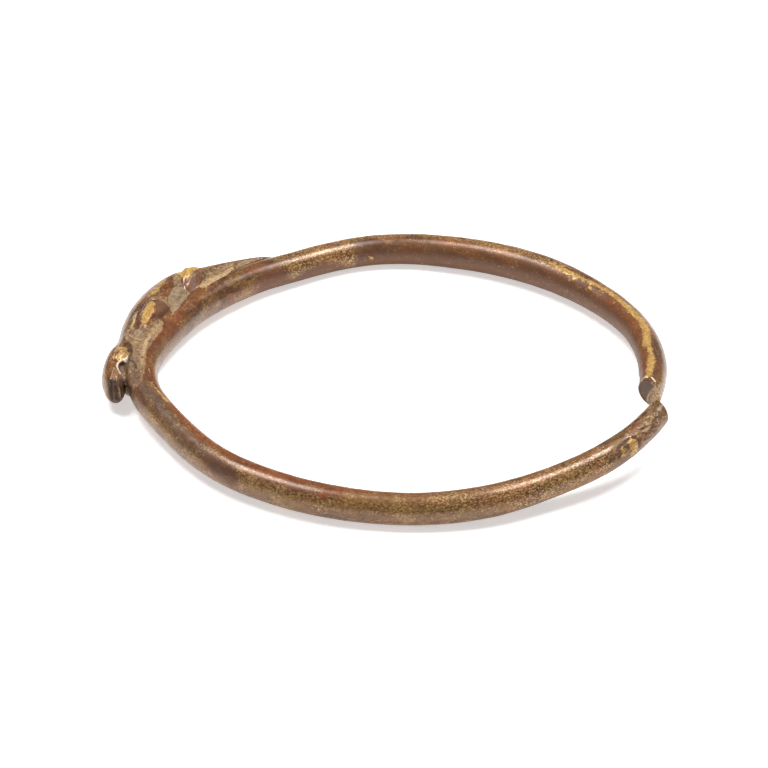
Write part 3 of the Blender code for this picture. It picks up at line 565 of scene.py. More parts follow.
# Steps in which the centre line is traced, and the steps by which a point's place along it is found
TRACE_STEPS = 1440
FRAME_REACH = 0.5 * MM
LOCATE_ROUNDS = 8
LOCATE_STEP = 0.85

# The stretch of rod beside the reptile, as shares of its length, and how the stretches meet
REPTILE_STRETCH = (-0.11, 1.05)
BESIDE_STATIONS = 240
STRETCH_MARGIN = 1.5 * MM
BRIDGE_GAP = 0.2 * MM
CUT_NEAR = 3 * ROD_DIAMETER
MERGE_DISTANCE = 0.001 * MM

# The open ends: finer sections, the rings of their faces, and how far back their cuts are blended
END_STRETCH = 8.0 * MM
LEAST_CAP_SIDES = 40
CAP_RINGS = 7
CUT_BLEND = 6.0 * MM

# How finely the reptile's forms are divided, and how they are softened once joined
STRIP_STEPS = 160
SECTION_SIDES = 64
LOBE_SEGMENTS = 40
LOBE_RINGS = 24
SOFTEN_FACTOR = 0.5
SOFTEN_ROUNDS = 2

# The noise that roughens the skin: how it falls off, how it narrows, and its detail on the plain rod
NOISE_FALL = 0.9
NOISE_LACUNARITY = 2.0
WANDER_DETAIL = 3.0


def length_property(name, description, default):
    return FloatProperty(name=name, description=description, default=default, subtype='DISTANCE',
                         unit='LENGTH')


def colour_property(name, description, default):
    return FloatVectorProperty(name=name, description=description, default=default, size=3, min=0.0,
                               max=1.0, subtype='COLOR')


class RodSizes(bpy.types.PropertyGroup):
    """How finely the rod is swept and how uneven its skin is."""

    sides: IntProperty(name="Sides", description="Faces around the rod", default=64, min=16, max=96)
    step: length_property("Step", "Distance between sections along the plain rod", 0.36 * MM)
    end_step: length_property("Step at the ends", "Distance between sections near the ends", 0.16 * MM)
    unevenness: length_property("Unevenness", "How far the filed skin wanders in and out", 0.05 * MM)
    unevenness_size: length_property("Size of the unevenness", "Width of one hollow or swell", 3.2 * MM)


class ReptileSizes(bpy.types.PropertyGroup):
    """How finely the reptile is modelled and how deep the casting's marks are."""

    detail: length_property("Detail", "Width of one face of the reptile's skin", 0.145 * MM)
    crust_grain: length_property("Crust grain", "Height of the grains of crust", 0.08 * MM)
    carving: FloatProperty(name="Carving", description="Depth of the marks, 1 as found", default=1.0,
                           min=0.0, max=2.0)


class PatinaColours(bpy.types.PropertyGroup):
    """Colours of the metal and of what covers it."""

    chocolate: colour_property("Chocolate", "Dark patina", (0.095, 0.038, 0.017))
    red_brown: colour_property("Red-brown", "Warm patina", (0.212, 0.069, 0.023))
    orange: colour_property("Orange", "Patina rubbed thin", (0.273, 0.073, 0.020))
    olive: colour_property("Olive", "Greenish patina", (0.222, 0.115, 0.033))
    # The dull film also paints reflections of the pale floor on the rod's lower sides, and sheen under
    # highlights
    dull: colour_property("Dull film", "Greyish film over the patina", (0.163, 0.108, 0.077))
    # Plum also paints shade on the hind leg's side face
    plum: colour_property("Plum", "Dark purple-brown patina", (0.143, 0.058, 0.026))
    pale_crust: colour_property("Pale crust", "Raised and rubbed crust", (0.581, 0.409, 0.223))
    fleck: colour_property("Flecks", "Golden flecks in the patina", (0.647, 0.395, 0.165))
    # Bronze also paints the sheen along the reptile's back ridge
    bronze: colour_property("Bronze", "Bare worn metal", (0.720, 0.452, 0.114))
    bronze_shade: colour_property("Dull bronze", "Bare metal that has dulled", (0.402, 0.189, 0.047))
    # The worn edge colour also paints glints and highlights on rims and edges, and sparkle on bare metal
    glint: colour_property("Worn edge", "Metal at rubbed edges", (0.950, 0.740, 0.560))
    tan_crust: colour_property("Tan crust", "Earthy crust", (0.360, 0.216, 0.098))
    tan_shade: colour_property("Dark tan crust", "Deeper parts of the crust", (0.172, 0.096, 0.050))
    grey_crust: colour_property("Grey crust", "Smooth crust between the legs", (0.355, 0.245, 0.141))
    grey_shade: colour_property("Dark grey crust", "Deeper parts of the grey crust", (0.216, 0.147, 0.086))
    # Soot also paints shade: under the brow, over the snout, in grooves, gaps, notches and folds, and in
    # hollows
    soot: colour_property("Soot", "Dirt in hollows", (0.048, 0.029, 0.019))


class StageSettings(bpy.types.PropertyGroup):
    """Floor, light and camera."""

    floor_size: length_property("Floor size", "Width of the pale floor", 4.0)
    floor_glow: FloatProperty(name="Floor glow", default=0.52, min=0.0,
                              description="Light that comes through the paper from below")
    sky: FloatProperty(name="Sky", default=0.16, min=0.0,
                       description="Strength of the light from all round")
    lamps: FloatProperty(name="Lamps", default=1.6, subtype='POWER', unit='POWER',
                         description="Power that the soft lamps' shares are taken from")
    camera_elevation: FloatProperty(name="Camera elevation", default=math.radians(31.0),
                                    subtype='ANGLE', unit='ROTATION',
                                    description="Angle that the camera looks down by")
    camera_distance: length_property("Camera distance", "From the camera to the bracelet", 550.0 * MM)


def smooth_values(stations, x, column=1):
    """Reads a smooth curve through the stations at each x, with no overshoot at the two ends."""
    xs = np.array([station[0] for station in stations])
    ys = np.array([station[column] for station in stations])
    slopes = np.empty_like(ys)
    slopes[1:-1] = (ys[2:] - ys[:-2]) / (xs[2:] - xs[:-2])
    slopes[0] = (ys[1] - ys[0]) / (xs[1] - xs[0])
    slopes[-1] = (ys[-1] - ys[-2]) / (xs[-1] - xs[-2])
    x = np.clip(x, xs[0], xs[-1])
    i = np.clip(np.searchsorted(xs, x, side='right') - 1, 0, len(xs) - 2)
    span = xs[i + 1] - xs[i]
    t = (x - xs[i]) / span
    start = (1 + 2 * t) * (1 - t) ** 2 * ys[i] + t * (1 - t) ** 2 * span * slopes[i]
    end = t * t * (3 - 2 * t) * ys[i + 1] - t * t * (1 - t) * span * slopes[i + 1]
    return start + end


def smooth_step(x, low, high):
    """Runs smoothly from 0 at low to 1 at high."""
    t = np.clip((x - low) / (high - low), 0.0, 1.0)
    return t * t * (3 - 2 * t)


def unit(vectors):
    """The same directions with a length of 1."""
    return vectors / np.linalg.norm(vectors, axis=-1, keepdims=True)


def lift_at(angle):
    """How far the rod's underside is above the ground at each angle."""
    back_share = np.clip((BACK_REST_ANGLE - angle) / (BACK_REST_ANGLE - BACK_END_ANGLE), 0.0, 1.0)
    front_share = np.clip((angle - FRONT_REST_ANGLE) / (FRONT_END_ANGLE - FRONT_REST_ANGLE), 0.0, 1.0)

    def rise(at):
        share = (at - BACK_REST_ANGLE) / (FRONT_REST_ANGLE - BACK_REST_ANGLE)
        return np.sin(np.pi * np.clip(share, 0.0, 1.0)) ** 2

    belly_below_rod = REPTILE_BREADTH * (0.5 + BELLY_DROP) - ROD_DIAMETER / 2
    under_reptile = belly_below_rod * rise(angle) / rise(REPTILE_REST_ANGLE)
    ends = BACK_END_LIFT * back_share ** END_LIFT_POWER + FRONT_END_LIFT * front_share ** END_LIFT_POWER
    return under_reptile + ends


class Ring:
    """The rod's bent centre line: where it runs, its radius and its directions at any distance along it."""

    def __init__(self):
        self.angles = np.linspace(BACK_END_ANGLE, FRONT_END_ANGLE, TRACE_STEPS + 1)
        reach = RING_RADIUS * smooth_values(BENDS, self.angles)
        turn = np.radians(self.angles)
        flat = np.column_stack((reach * np.cos(turn), reach * np.sin(turn)))
        gaps = np.linalg.norm(np.diff(flat, axis=0), axis=1)
        self.arcs = np.concatenate(((0.0,), np.cumsum(gaps)))
        self.length = self.arcs[-1]
        self.radii = ROD_DIAMETER / 2 * smooth_values(THICKNESS, self.angles)
        heights = lift_at(self.angles) + self.radii - RESTING_WEAR
        self.centres = np.column_stack((flat, heights)) + RING_MIDDLE
        self.snout_arc = self.arc(SNOUT_ANGLE)

    def arc(self, angle):
        """The distance along the rod at an angle."""
        return np.interp(angle, self.angles, self.arcs)

    def radius(self, arc):
        return np.interp(arc, self.arcs, self.radii)

    def centre(self, arc):
        return np.column_stack([np.interp(arc, self.arcs, self.centres[:, axis]) for axis in range(3)])

    def frame(self, arc):
        """Centres, and the directions along the rod, out of the ring and up, at each distance."""
        arc = np.atleast_1d(arc)
        ahead = self.centre(np.minimum(arc + FRAME_REACH, self.length))
        behind = self.centre(np.maximum(arc - FRAME_REACH, 0.0))
        along = unit(ahead - behind)
        out = unit(np.cross(along, (0.0, 0.0, 1.0)))
        return self.centre(arc), along, out, unit(np.cross(out, along))

    def place(self, arc, out, up):
        """Points at a distance along the rod, out from its centre line and up from it."""
        centre, _, outward, upward = self.frame(arc)
        return centre + outward * np.reshape(out, (-1, 1)) + upward * np.reshape(up, (-1, 1))

    def locate(self, points):
        """The reverse of place: distance along, out and up for each point."""
        flat = points - RING_MIDDLE
        angle = np.degrees(np.arctan2(flat[:, 1], flat[:, 0])) % 360.0
        angle = np.where(angle > (FRONT_END_ANGLE + BACK_END_ANGLE + 360.0) / 2, angle - 360.0, angle)
        arc = self.arc(angle)
        for _ in range(LOCATE_ROUNDS):
            centre, along, outward, upward = self.frame(arc)
            ahead = np.sum((points - centre) * along, axis=1)
            arc = np.clip(arc + LOCATE_STEP * ahead, 0.0, self.length)
        centre, _, outward, upward = self.frame(arc)
        offset = points - centre
        return arc, np.sum(offset * outward, axis=1), np.sum(offset * upward, axis=1)


def new_piece(name, mesh):
    thing = bpy.data.objects.new(name, mesh)
    bpy.context.scene.collection.objects.link(thing)
    return thing


def plain_mesh(thing, name):
    """The object's evaluated mesh as a mesh of its own, and the object is removed."""
    evaluated = thing.evaluated_get(bpy.context.evaluated_depsgraph_get())
    mesh = bpy.data.meshes.new_from_object(evaluated)
    mesh.name = name
    bpy.data.objects.remove(thing)
    return mesh


def feed(tree, node, inputs):
    """Gives a node's inputs numbers, colours or other nodes' results."""
    for key, value in inputs.items():
        socket = node.inputs[key]
        if isinstance(value, bpy.types.NodeSocket):
            tree.links.new(value, socket)
        elif socket.type == 'RGBA':
            socket.default_value = (*value[:3], 1.0)
        else:
            socket.default_value = value
    return node


def add_node(tree, kind, inputs, **settings):
    """A new node with its settings made and its inputs given."""
    node = tree.nodes.new(kind)
    for key, value in settings.items():
        setattr(node, key, value)
    return feed(tree, node, inputs)


def finished(bm, name):
    """The working mesh as a mesh with a name."""
    mesh = bpy.data.meshes.new(name)
    bm.to_mesh(mesh)
    bm.free()
    return mesh


def vertex_values(mesh, name):
    """The places ("co") or the normals ("normal") of the vertices."""
    values = np.empty(len(mesh.vertices) * 3)
    mesh.vertices.foreach_get(name, values)
    return values.reshape(-1, 3)


def move_vertices(mesh, points):
    mesh.vertices.foreach_set("co", points.ravel())
    mesh.update()


def grain(points, size, octaves=3, seed=0.0):
    """Smooth noise from about -1 to 1 at each point."""
    shift = Vector((seed, seed * 0.7, -seed))
    return np.array([noise.fractal(Vector(point) / size + shift, NOISE_FALL, NOISE_LACUNARITY, octaves)
                     for point in points])


# The rod


def rod_tree():
    """Geometry Nodes that sweep a circle along the centre line and roughen its skin."""
    tree = bpy.data.node_groups.new("swept_rod", 'GeometryNodeTree')
    face = tree.interface
    face.new_socket("Geometry", in_out='INPUT', socket_type='NodeSocketGeometry')
    for name, kind in (("Sides", 'NodeSocketInt'), ("Unevenness", 'NodeSocketFloat'),
                       ("Unevenness Scale", 'NodeSocketFloat'), ("Finish", 'NodeSocketMaterial')):
        face.new_socket(name, in_out='INPUT', socket_type=kind)
    face.new_socket("Geometry", in_out='OUTPUT', socket_type='NodeSocketGeometry')

    def node(kind, inputs, **settings):
        return add_node(tree, kind, inputs, **settings).outputs

    given = node('NodeGroupInput', {})
    centre_line = node('GeometryNodeSetCurveNormal', {"Curve": given["Geometry"]}, mode='Z_UP')[0]
    circle = node('GeometryNodeCurvePrimitiveCircle', {"Resolution": given["Sides"], "Radius": 1.0})[0]
    radius = node('GeometryNodeInputRadius', {})[0]
    rod = node('GeometryNodeCurveToMesh', {"Curve": centre_line, "Profile Curve": circle, "Scale": radius,
                                           "Fill Caps": True})[0]
    wander = node('ShaderNodeTexNoise', {"Scale": given["Unevenness Scale"], "Detail": WANDER_DETAIL})[0]
    centred = node('ShaderNodeMath', {0: wander, 1: 0.5}, operation='SUBTRACT')[0]
    height = node('ShaderNodeMath', {0: centred, 1: given["Unevenness"]}, operation='MULTIPLY')[0]
    normal = node('GeometryNodeInputNormal', {})[0]
    offset = node('ShaderNodeVectorMath', {0: normal, "Scale": height}, operation='SCALE')[0]
    rod = node('GeometryNodeSetPosition', {"Geometry": rod, "Offset": offset})[0]
    rod = node('GeometryNodeSetShadeSmooth', {0: rod})[0]
    rod = node('GeometryNodeRealizeInstances', {0: rod})[0]
    rod = node('GeometryNodeSetMaterial', {"Geometry": rod, "Material": given["Finish"]})[0]
    node('NodeGroupOutput', {0: rod})
    return tree


def set_inputs(modifier, **values):
    """Sets a node tree's inputs by their identifiers."""
    for item in modifier.node_group.interface.items_tree:
        key = item.name.replace(" ", "_").lower()
        if item.in_out == 'INPUT' and key in values:
            modifier[item.identifier] = values[key]


def rod_stations(ring, sizes):
    """Distances along the plain rod's two stretches, close together near the open ends."""
    tail_end = ring.snout_arc - REPTILE_LENGTH * REPTILE_STRETCH[1]
    snout_end = ring.snout_arc - REPTILE_LENGTH * REPTILE_STRETCH[0]
    fine = np.linspace(0.0, END_STRETCH, round(END_STRETCH / sizes.end_step) + 1)[:-1]

    def plain(first, last):
        return np.linspace(first, last, round((last - first) / sizes.step) + 1)

    back = np.concatenate((fine, plain(END_STRETCH, tail_end - BRIDGE_GAP / 2)))
    front = np.concatenate((plain(snout_end + BRIDGE_GAP / 2, ring.length - END_STRETCH),
                            (ring.length - fine)[::-1]))
    return back, front


def rod_mesh(name, ring, stations, sizes, finish):
    """A stretch of the rod, swept through its stations."""
    curve = bpy.data.curves.new(name, 'CURVE')
    curve.dimensions = '3D'
    spline = curve.splines.new('POLY')
    spline.points.add(len(stations) - 1)
    for point, place, radius in zip(spline.points, ring.centre(stations), ring.radius(stations)):
        point.co = (*place, 1.0)
        point.radius = radius
    path = new_piece(name, curve)
    modifier = path.modifiers.new("sweep", 'NODES')
    modifier.node_group = rod_tree()
    set_inputs(modifier, sides=sizes.sides, unevenness=2 * sizes.unevenness,
               unevenness_scale=1.0 / sizes.unevenness_size, finish=finish)
    mesh = plain_mesh(path, name)
    bm = bmesh.new()
    bm.from_mesh(mesh)
    bmesh.ops.remove_doubles(bm, verts=bm.verts, dist=MERGE_DISTANCE)
    bmesh.ops.recalc_face_normals(bm, faces=bm.faces)
    bm.to_mesh(mesh)
    bm.free()
    return mesh


def divide_end_faces(mesh):
    """Divides each open end's flat face into rings that can be roughened."""
    bm = bmesh.new()
    bm.from_mesh(mesh)
    for cap in [face for face in bm.faces if len(face.verts) > 4]:
        reach = (cap.verts[0].co - cap.calc_center_median()).length
        for _ in range(CAP_RINGS - 1):
            bmesh.ops.inset_region(bm, faces=[cap], thickness=reach / CAP_RINGS)
        bmesh.ops.poke(bm, faces=[cap])
    bm.to_mesh(mesh)
    bm.free()


def cut_ends_obliquely(mesh, ring):
    """Shears the last stretch of the rod so that each end face lies on its oblique cut."""
    points = vertex_values(mesh, "co")
    arcs = ring.locate(points)[0]
    for end, cut, outward, turn in ((0.0, BACK_CUT_LENGTH, -1.0, BACK_CUT_TURN),
                                    (ring.length, ring.length - FRONT_CUT_LENGTH, 1.0, FRONT_CUT_TURN)):
        corner, cut_along = [row[0] for row in ring.frame(cut)[:2]]
        end_centre, along = [row[0] for row in ring.frame(end)[:2]]
        heading = cut_along * outward
        direction = math.atan2(heading[1], heading[0]) + math.radians(turn)
        normal = np.array((math.cos(direction), math.sin(direction), 0.0))
        near = 1.0 - np.clip(np.abs(arcs - end) / CUT_BLEND, 0.0, 1.0)
        picked = near > 0.0
        # Each point's own place on the end's section, found by sliding it there along the rod
        slid = points[picked] - ring.centre(arcs[picked])
        crossing = -((slid + end_centre - corner) @ normal) / (along @ normal)
        points[picked] += along * (crossing * near[picked])[:, None]
    move_vertices(mesh, points)


# The reptile


def loft(name, sections):
    """A closed skin through sections with the same number of points."""
    bm = bmesh.new()
    rings = [[bm.verts.new(point) for point in section] for section in sections]
    for one, two in zip(rings, rings[1:]):
        for k in range(len(one)):
            bm.faces.new((one[k - 1], one[k], two[k], two[k - 1]))
    bm.faces.new(rings[0])
    bm.faces.new(reversed(rings[-1]))
    bmesh.ops.recalc_face_normals(bm, faces=bm.faces)
    return finished(bm, name)


def strip_profile(ring, stations, share):
    """Middle and half width of a strip's section, both outward and upward, at shares of the length."""
    surface = ring.radius(ring.snout_arc - REPTILE_LENGTH * share)
    inner = surface + REPTILE_STAND_OUT * smooth_values(stations, share, 1)
    outer = surface + REPTILE_STAND_OUT * smooth_values(stations, share, 2)
    half_breadth = REPTILE_BREADTH * smooth_values(stations, share, 3) / 2
    rise = REPTILE_BREADTH * smooth_values(stations, share, 4)
    return (inner + outer) / 2, (outer - inner) / 2, rise, half_breadth


def strip(name, ring, stations):
    """A skin through oval sections that lies against the rod's outer side."""
    first, last = stations[0][0], stations[-1][0]
    turn = 2 * np.pi * np.arange(SECTION_SIDES) / SECTION_SIDES
    sections = []
    for k in range(STRIP_STEPS + 1):
        step = k / STRIP_STEPS
        # The sections lie close together at the snout's end, where the form turns quickly
        share = first + (last - first) * step * step * (1.5 - 0.5 * step)
        middle, half_width, rise, half_breadth = strip_profile(ring, stations, share)
        arc = np.full(SECTION_SIDES, ring.snout_arc - REPTILE_LENGTH * share)
        out = middle + half_width * np.cos(turn)
        up = rise + half_breadth * np.sin(turn)
        sections.append(ring.place(arc, out, up))
    return loft(name, sections)


def lobe(name, ring, sizes, side):
    """A rounded lobe on the upper (side 1) or lower (side -1) flank, shallower below."""
    share, out_share, height_share, half_shares, turn = sizes
    relief = 1.0 if side > 0 else UNDERSIDE_RELIEF
    arc = ring.snout_arc - REPTILE_LENGTH * share
    centre, along, out, up = [Vector(row[0]) for row in ring.frame(arc)]
    reach_out = ring.radius(arc) + REPTILE_STAND_OUT * out_share
    place = centre + out * reach_out + up * (REPTILE_BREADTH * height_share * relief * side)
    half_sizes = (REPTILE_LENGTH * half_shares[0], REPTILE_STAND_OUT * half_shares[1],
                  REPTILE_BREADTH * half_shares[2] * relief)
    axes = Matrix((along, out, up)).transposed()
    turned = axes @ Matrix.Rotation(math.radians(turn), 3, 'Z')
    shape = turned @ Matrix.Diagonal(half_sizes)
    bm = bmesh.new()
    bmesh.ops.create_uvsphere(bm, u_segments=LOBE_SEGMENTS, v_segments=LOBE_RINGS, radius=1.0)
    bmesh.ops.transform(bm, matrix=Matrix.Translation(place) @ shape.to_4x4(), verts=bm.verts)
    bmesh.ops.recalc_face_normals(bm, faces=bm.faces)
    return finished(bm, name)


def block(name, ring, corners):
    """The hull of a few corners given in the rod's own directions."""
    share, out, up = np.array(corners).T
    places = ring.place(ring.snout_arc - REPTILE_LENGTH * share, out * MM, up * MM)
    bm = bmesh.new()
    for place in places:
        bm.verts.new(place)
    hull = bmesh.ops.convex_hull(bm, input=bm.verts)
    bmesh.ops.delete(bm, geom=hull["geom_interior"], context='VERTS')
    bmesh.ops.recalc_face_normals(bm, faces=bm.faces)
    return finished(bm, name)


def merged(name, meshes):
    """One mesh that holds several closed skins, which may pass through each other."""
    bm = bmesh.new()
    for mesh in meshes:
        bm.from_mesh(mesh)
        bpy.data.meshes.remove(mesh)
    return finished(bm, name)


def fused(mesh, detail):
    """One even skin around all the forms in a mesh."""
    thing = new_piece(mesh.name, mesh)
    remesh = thing.modifiers.new("skin", 'REMESH')
    remesh.mode = 'VOXEL'
    remesh.voxel_size = detail
    remesh.adaptivity = 0.0
    soften = thing.modifiers.new("soften", 'SMOOTH')
    soften.factor = SOFTEN_FACTOR
    soften.iterations = SOFTEN_ROUNDS
    return plain_mesh(thing, mesh.name)


def cut_off(bm, ring, arc, outward):
    """Cuts a skin off square across the rod and returns the open edge."""
    centre, along = [Vector(row[0]) for row in ring.frame(arc)[:2]]
    near = [face for face in bm.faces if (face.calc_center_median() - centre).length < CUT_NEAR]
    edges = {edge for face in near for edge in face.edges}
    verts = {vert for face in near for vert in face.verts}
    cut = bmesh.ops.bisect_plane(bm, geom=[*near, *edges, *verts], dist=0.0, plane_co=centre,
                                 plane_no=along * outward, clear_outer=True)
    return [item for item in cut["geom_cut"] if isinstance(item, bmesh.types.BMEdge)]


def open_inner_end(bm, ring, arc):
    """Takes the flat face off a plain stretch's inner end and returns the open edge."""
    centre = Vector(ring.centre(np.array([arc]))[0])
    cap = min((face for face in bm.faces if len(face.verts) > 4),
              key=lambda face: (face.calc_center_median() - centre).length)
    edges = list(cap.edges)
    bmesh.ops.delete(bm, geom=[cap], context='FACES_ONLY')
    return edges


def bridged(ring, reptile, back, front):
    """One skin: the reptile's stretch with a plain stretch of rod on either side."""
    bm = bmesh.new()
    bm.from_mesh(reptile)
    tail_end = ring.snout_arc - REPTILE_LENGTH * REPTILE_STRETCH[1]
    snout_end = ring.snout_arc - REPTILE_LENGTH * REPTILE_STRETCH[0]
    tail_loop = cut_off(bm, ring, tail_end + BRIDGE_GAP / 2, -1)
    snout_loop = cut_off(bm, ring, snout_end - BRIDGE_GAP / 2, 1)
    bm.from_mesh(back)
    back_loop = open_inner_end(bm, ring, tail_end)
    bm.from_mesh(front)
    front_loop = open_inner_end(bm, ring, snout_end)
    bmesh.ops.bridge_loops(bm, edges=tail_loop + back_loop)
    bmesh.ops.bridge_loops(bm, edges=snout_loop + front_loop)
    bmesh.ops.triangulate(bm, faces=[face for face in bm.faces if 4 < len(face.verts) < LEAST_CAP_SIDES])
    bmesh.ops.recalc_face_normals(bm, faces=bm.faces)
    open_edges = sum(not edge.is_manifold for edge in bm.edges)
    if open_edges:
        raise RuntimeError(f"The casting's skin has {open_edges} open edges.")
    return finished(bm, PIECE)


class BRACELET_OT_rod(bpy.types.Operator):
    """Sweep the bracelet's rod along its bent centre line"""

    bl_idname = "bracelet.rod"
    bl_label = "Rod"

    def execute(self, context):
        ring = Ring()
        sizes = context.scene.bracelet_rod
        finish = patina(context.scene.bracelet_patina)
        back, front = rod_stations(ring, sizes)
        beside = np.linspace(back[-1] - STRETCH_MARGIN, front[0] + STRETCH_MARGIN, BESIDE_STATIONS)
        for name, stations in (("rod_back", back), ("rod_front", front), ("rod_beside_reptile", beside)):
            new_piece(name, rod_mesh(name, ring, stations, sizes, finish))
        return {'FINISHED'}


class BRACELET_OT_reptile(bpy.types.Operator):
    """Model the reptile and the crust behind it as one skin with the rod beside them"""

    bl_idname = "bracelet.reptile"
    bl_label = "Reptile"

    def execute(self, context):
        ring = Ring()
        rod = bpy.data.objects["rod_beside_reptile"]
        forms = [strip("trunk", ring, TRUNK), strip("crust", ring, CRUST), rod.data]
        bpy.data.objects.remove(rod)
        for name, (*sizes, sides) in LOBES.items():
            for side in sides:
                forms.append(lobe(name, ring, sizes, side))
        for name, corners in BLOCKS.items():
            forms.append(block(name, ring, corners))
        mesh = fused(merged("reptile", forms), context.scene.bracelet_reptile.detail)
        new_piece("reptile", mesh)
        return {'FINISHED'}


class BRACELET_OT_casting(bpy.types.Operator):
    """Join rod and reptile as one casting, mark its wear and give it its patina"""

    bl_idname = "bracelet.casting"
    bl_label = "Casting"

    def execute(self, context):
        ring = Ring()
        stretches = [bpy.data.objects[name] for name in ("reptile", "rod_back", "rod_front")]
        mesh = bridged(ring, *[stretch.data for stretch in stretches])
        mesh.materials.append(bpy.data.materials["bronze_patina"])
        for stretch in stretches:
            bpy.data.objects.remove(stretch)
        divide_end_faces(mesh)
        cut_ends_obliquely(mesh, ring)
        carve(mesh, ring, context.scene.bracelet_reptile)
        points = vertex_values(mesh, "co")
        points[:, 2] = np.maximum(points[:, 2], 0.0)
        move_vertices(mesh, points)
        mesh.shade_smooth()
        piece = new_piece(PIECE, mesh)
        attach(piece, "root")
        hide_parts("bracelet")
        return {'FINISHED'}


# The carving and the wear


def inside_distance(x, y, outline):
    """How far each point is inside a closed outline, less than nothing outside it."""
    nearest = np.full(len(x), np.inf)
    inside = np.zeros(len(x), dtype=bool)
    for (x1, y1), (x2, y2) in zip(outline, outline[1:] + outline[:1]):
        dx, dy = x2 - x1, y2 - y1
        t = np.clip(((x - x1) * dx + (y - y1) * dy) / (dx * dx + dy * dy), 0.0, 1.0)
        nearest = np.minimum(nearest, np.hypot(x - x1 - t * dx, y - y1 - t * dy))
        if dy:
            crosses = ((y1 > y) != (y2 > y)) & (x < (y - y1) * dx / dy + x1)
            inside ^= crosses
    return np.where(inside, nearest, -nearest)


def path_distance(spots, path):
    """Each spot's distance from a path of straight runs."""
    nearest = np.full(len(spots), np.inf)
    for start, end in zip(path, path[1:]):
        start, run = np.array(start), np.array(end) - np.array(start)
        t = np.clip((spots - start) @ run / max(run @ run, 1e-9), 0.0, 1.0)
        nearest = np.minimum(nearest, np.linalg.norm(spots - start - t[:, None] * run, axis=1))
    return nearest


def rounded(outline):
    """A closed outline with each of its corners cut twice."""
    outline = np.array(outline, dtype=float)
    for _ in range(2):
        following = np.roll(outline, -1, axis=0)
        cut = np.stack((outline * 0.75 + following * 0.25, outline * 0.25 + following * 0.75), axis=1)
        outline = cut.reshape(-1, 2)
    return [tuple(corner) for corner in outline]


def lengthwise(places):
    """Places with their share of the reptile's length turned into millimetres."""
    return [(place[0] * REPTILE_LENGTH / MM, *place[1:]) for place in places]


def smoothed(mesh, values, rounds):
    """Values at the vertices, averaged with their neighbours' a few times."""
    edges = np.empty(len(mesh.edges) * 2, dtype=np.int64)
    mesh.edges.foreach_get("vertices", edges)
    one, two = edges.reshape(-1, 2).T
    count = np.bincount(one, minlength=len(values)) + np.bincount(two, minlength=len(values))
    for _ in range(rounds):
        total = np.zeros_like(values)
        np.add.at(total, one, values[two])
        np.add.at(total, two, values[one])
        values = (values + total / count[:, None]) / 2
    return values


def paths_of(marks):
    """Each path of the marks, after the settings of its mark."""
    for finish, strength, height, width, *paths in marks.values():
        for path in paths:
            yield finish, strength, height, width, path


def rod_path(ring, path):
    """A path given by angles in the ring and round the rod, in the skin's straightened millimetres."""
    angle, turn = np.array(path, dtype=float).T
    arc = ring.arc(angle)
    radius = ring.radius(arc)
    turn = np.radians(turn)
    return np.column_stack((ring.snout_arc - arc, radius * np.cos(turn), radius * np.sin(turn))) / MM


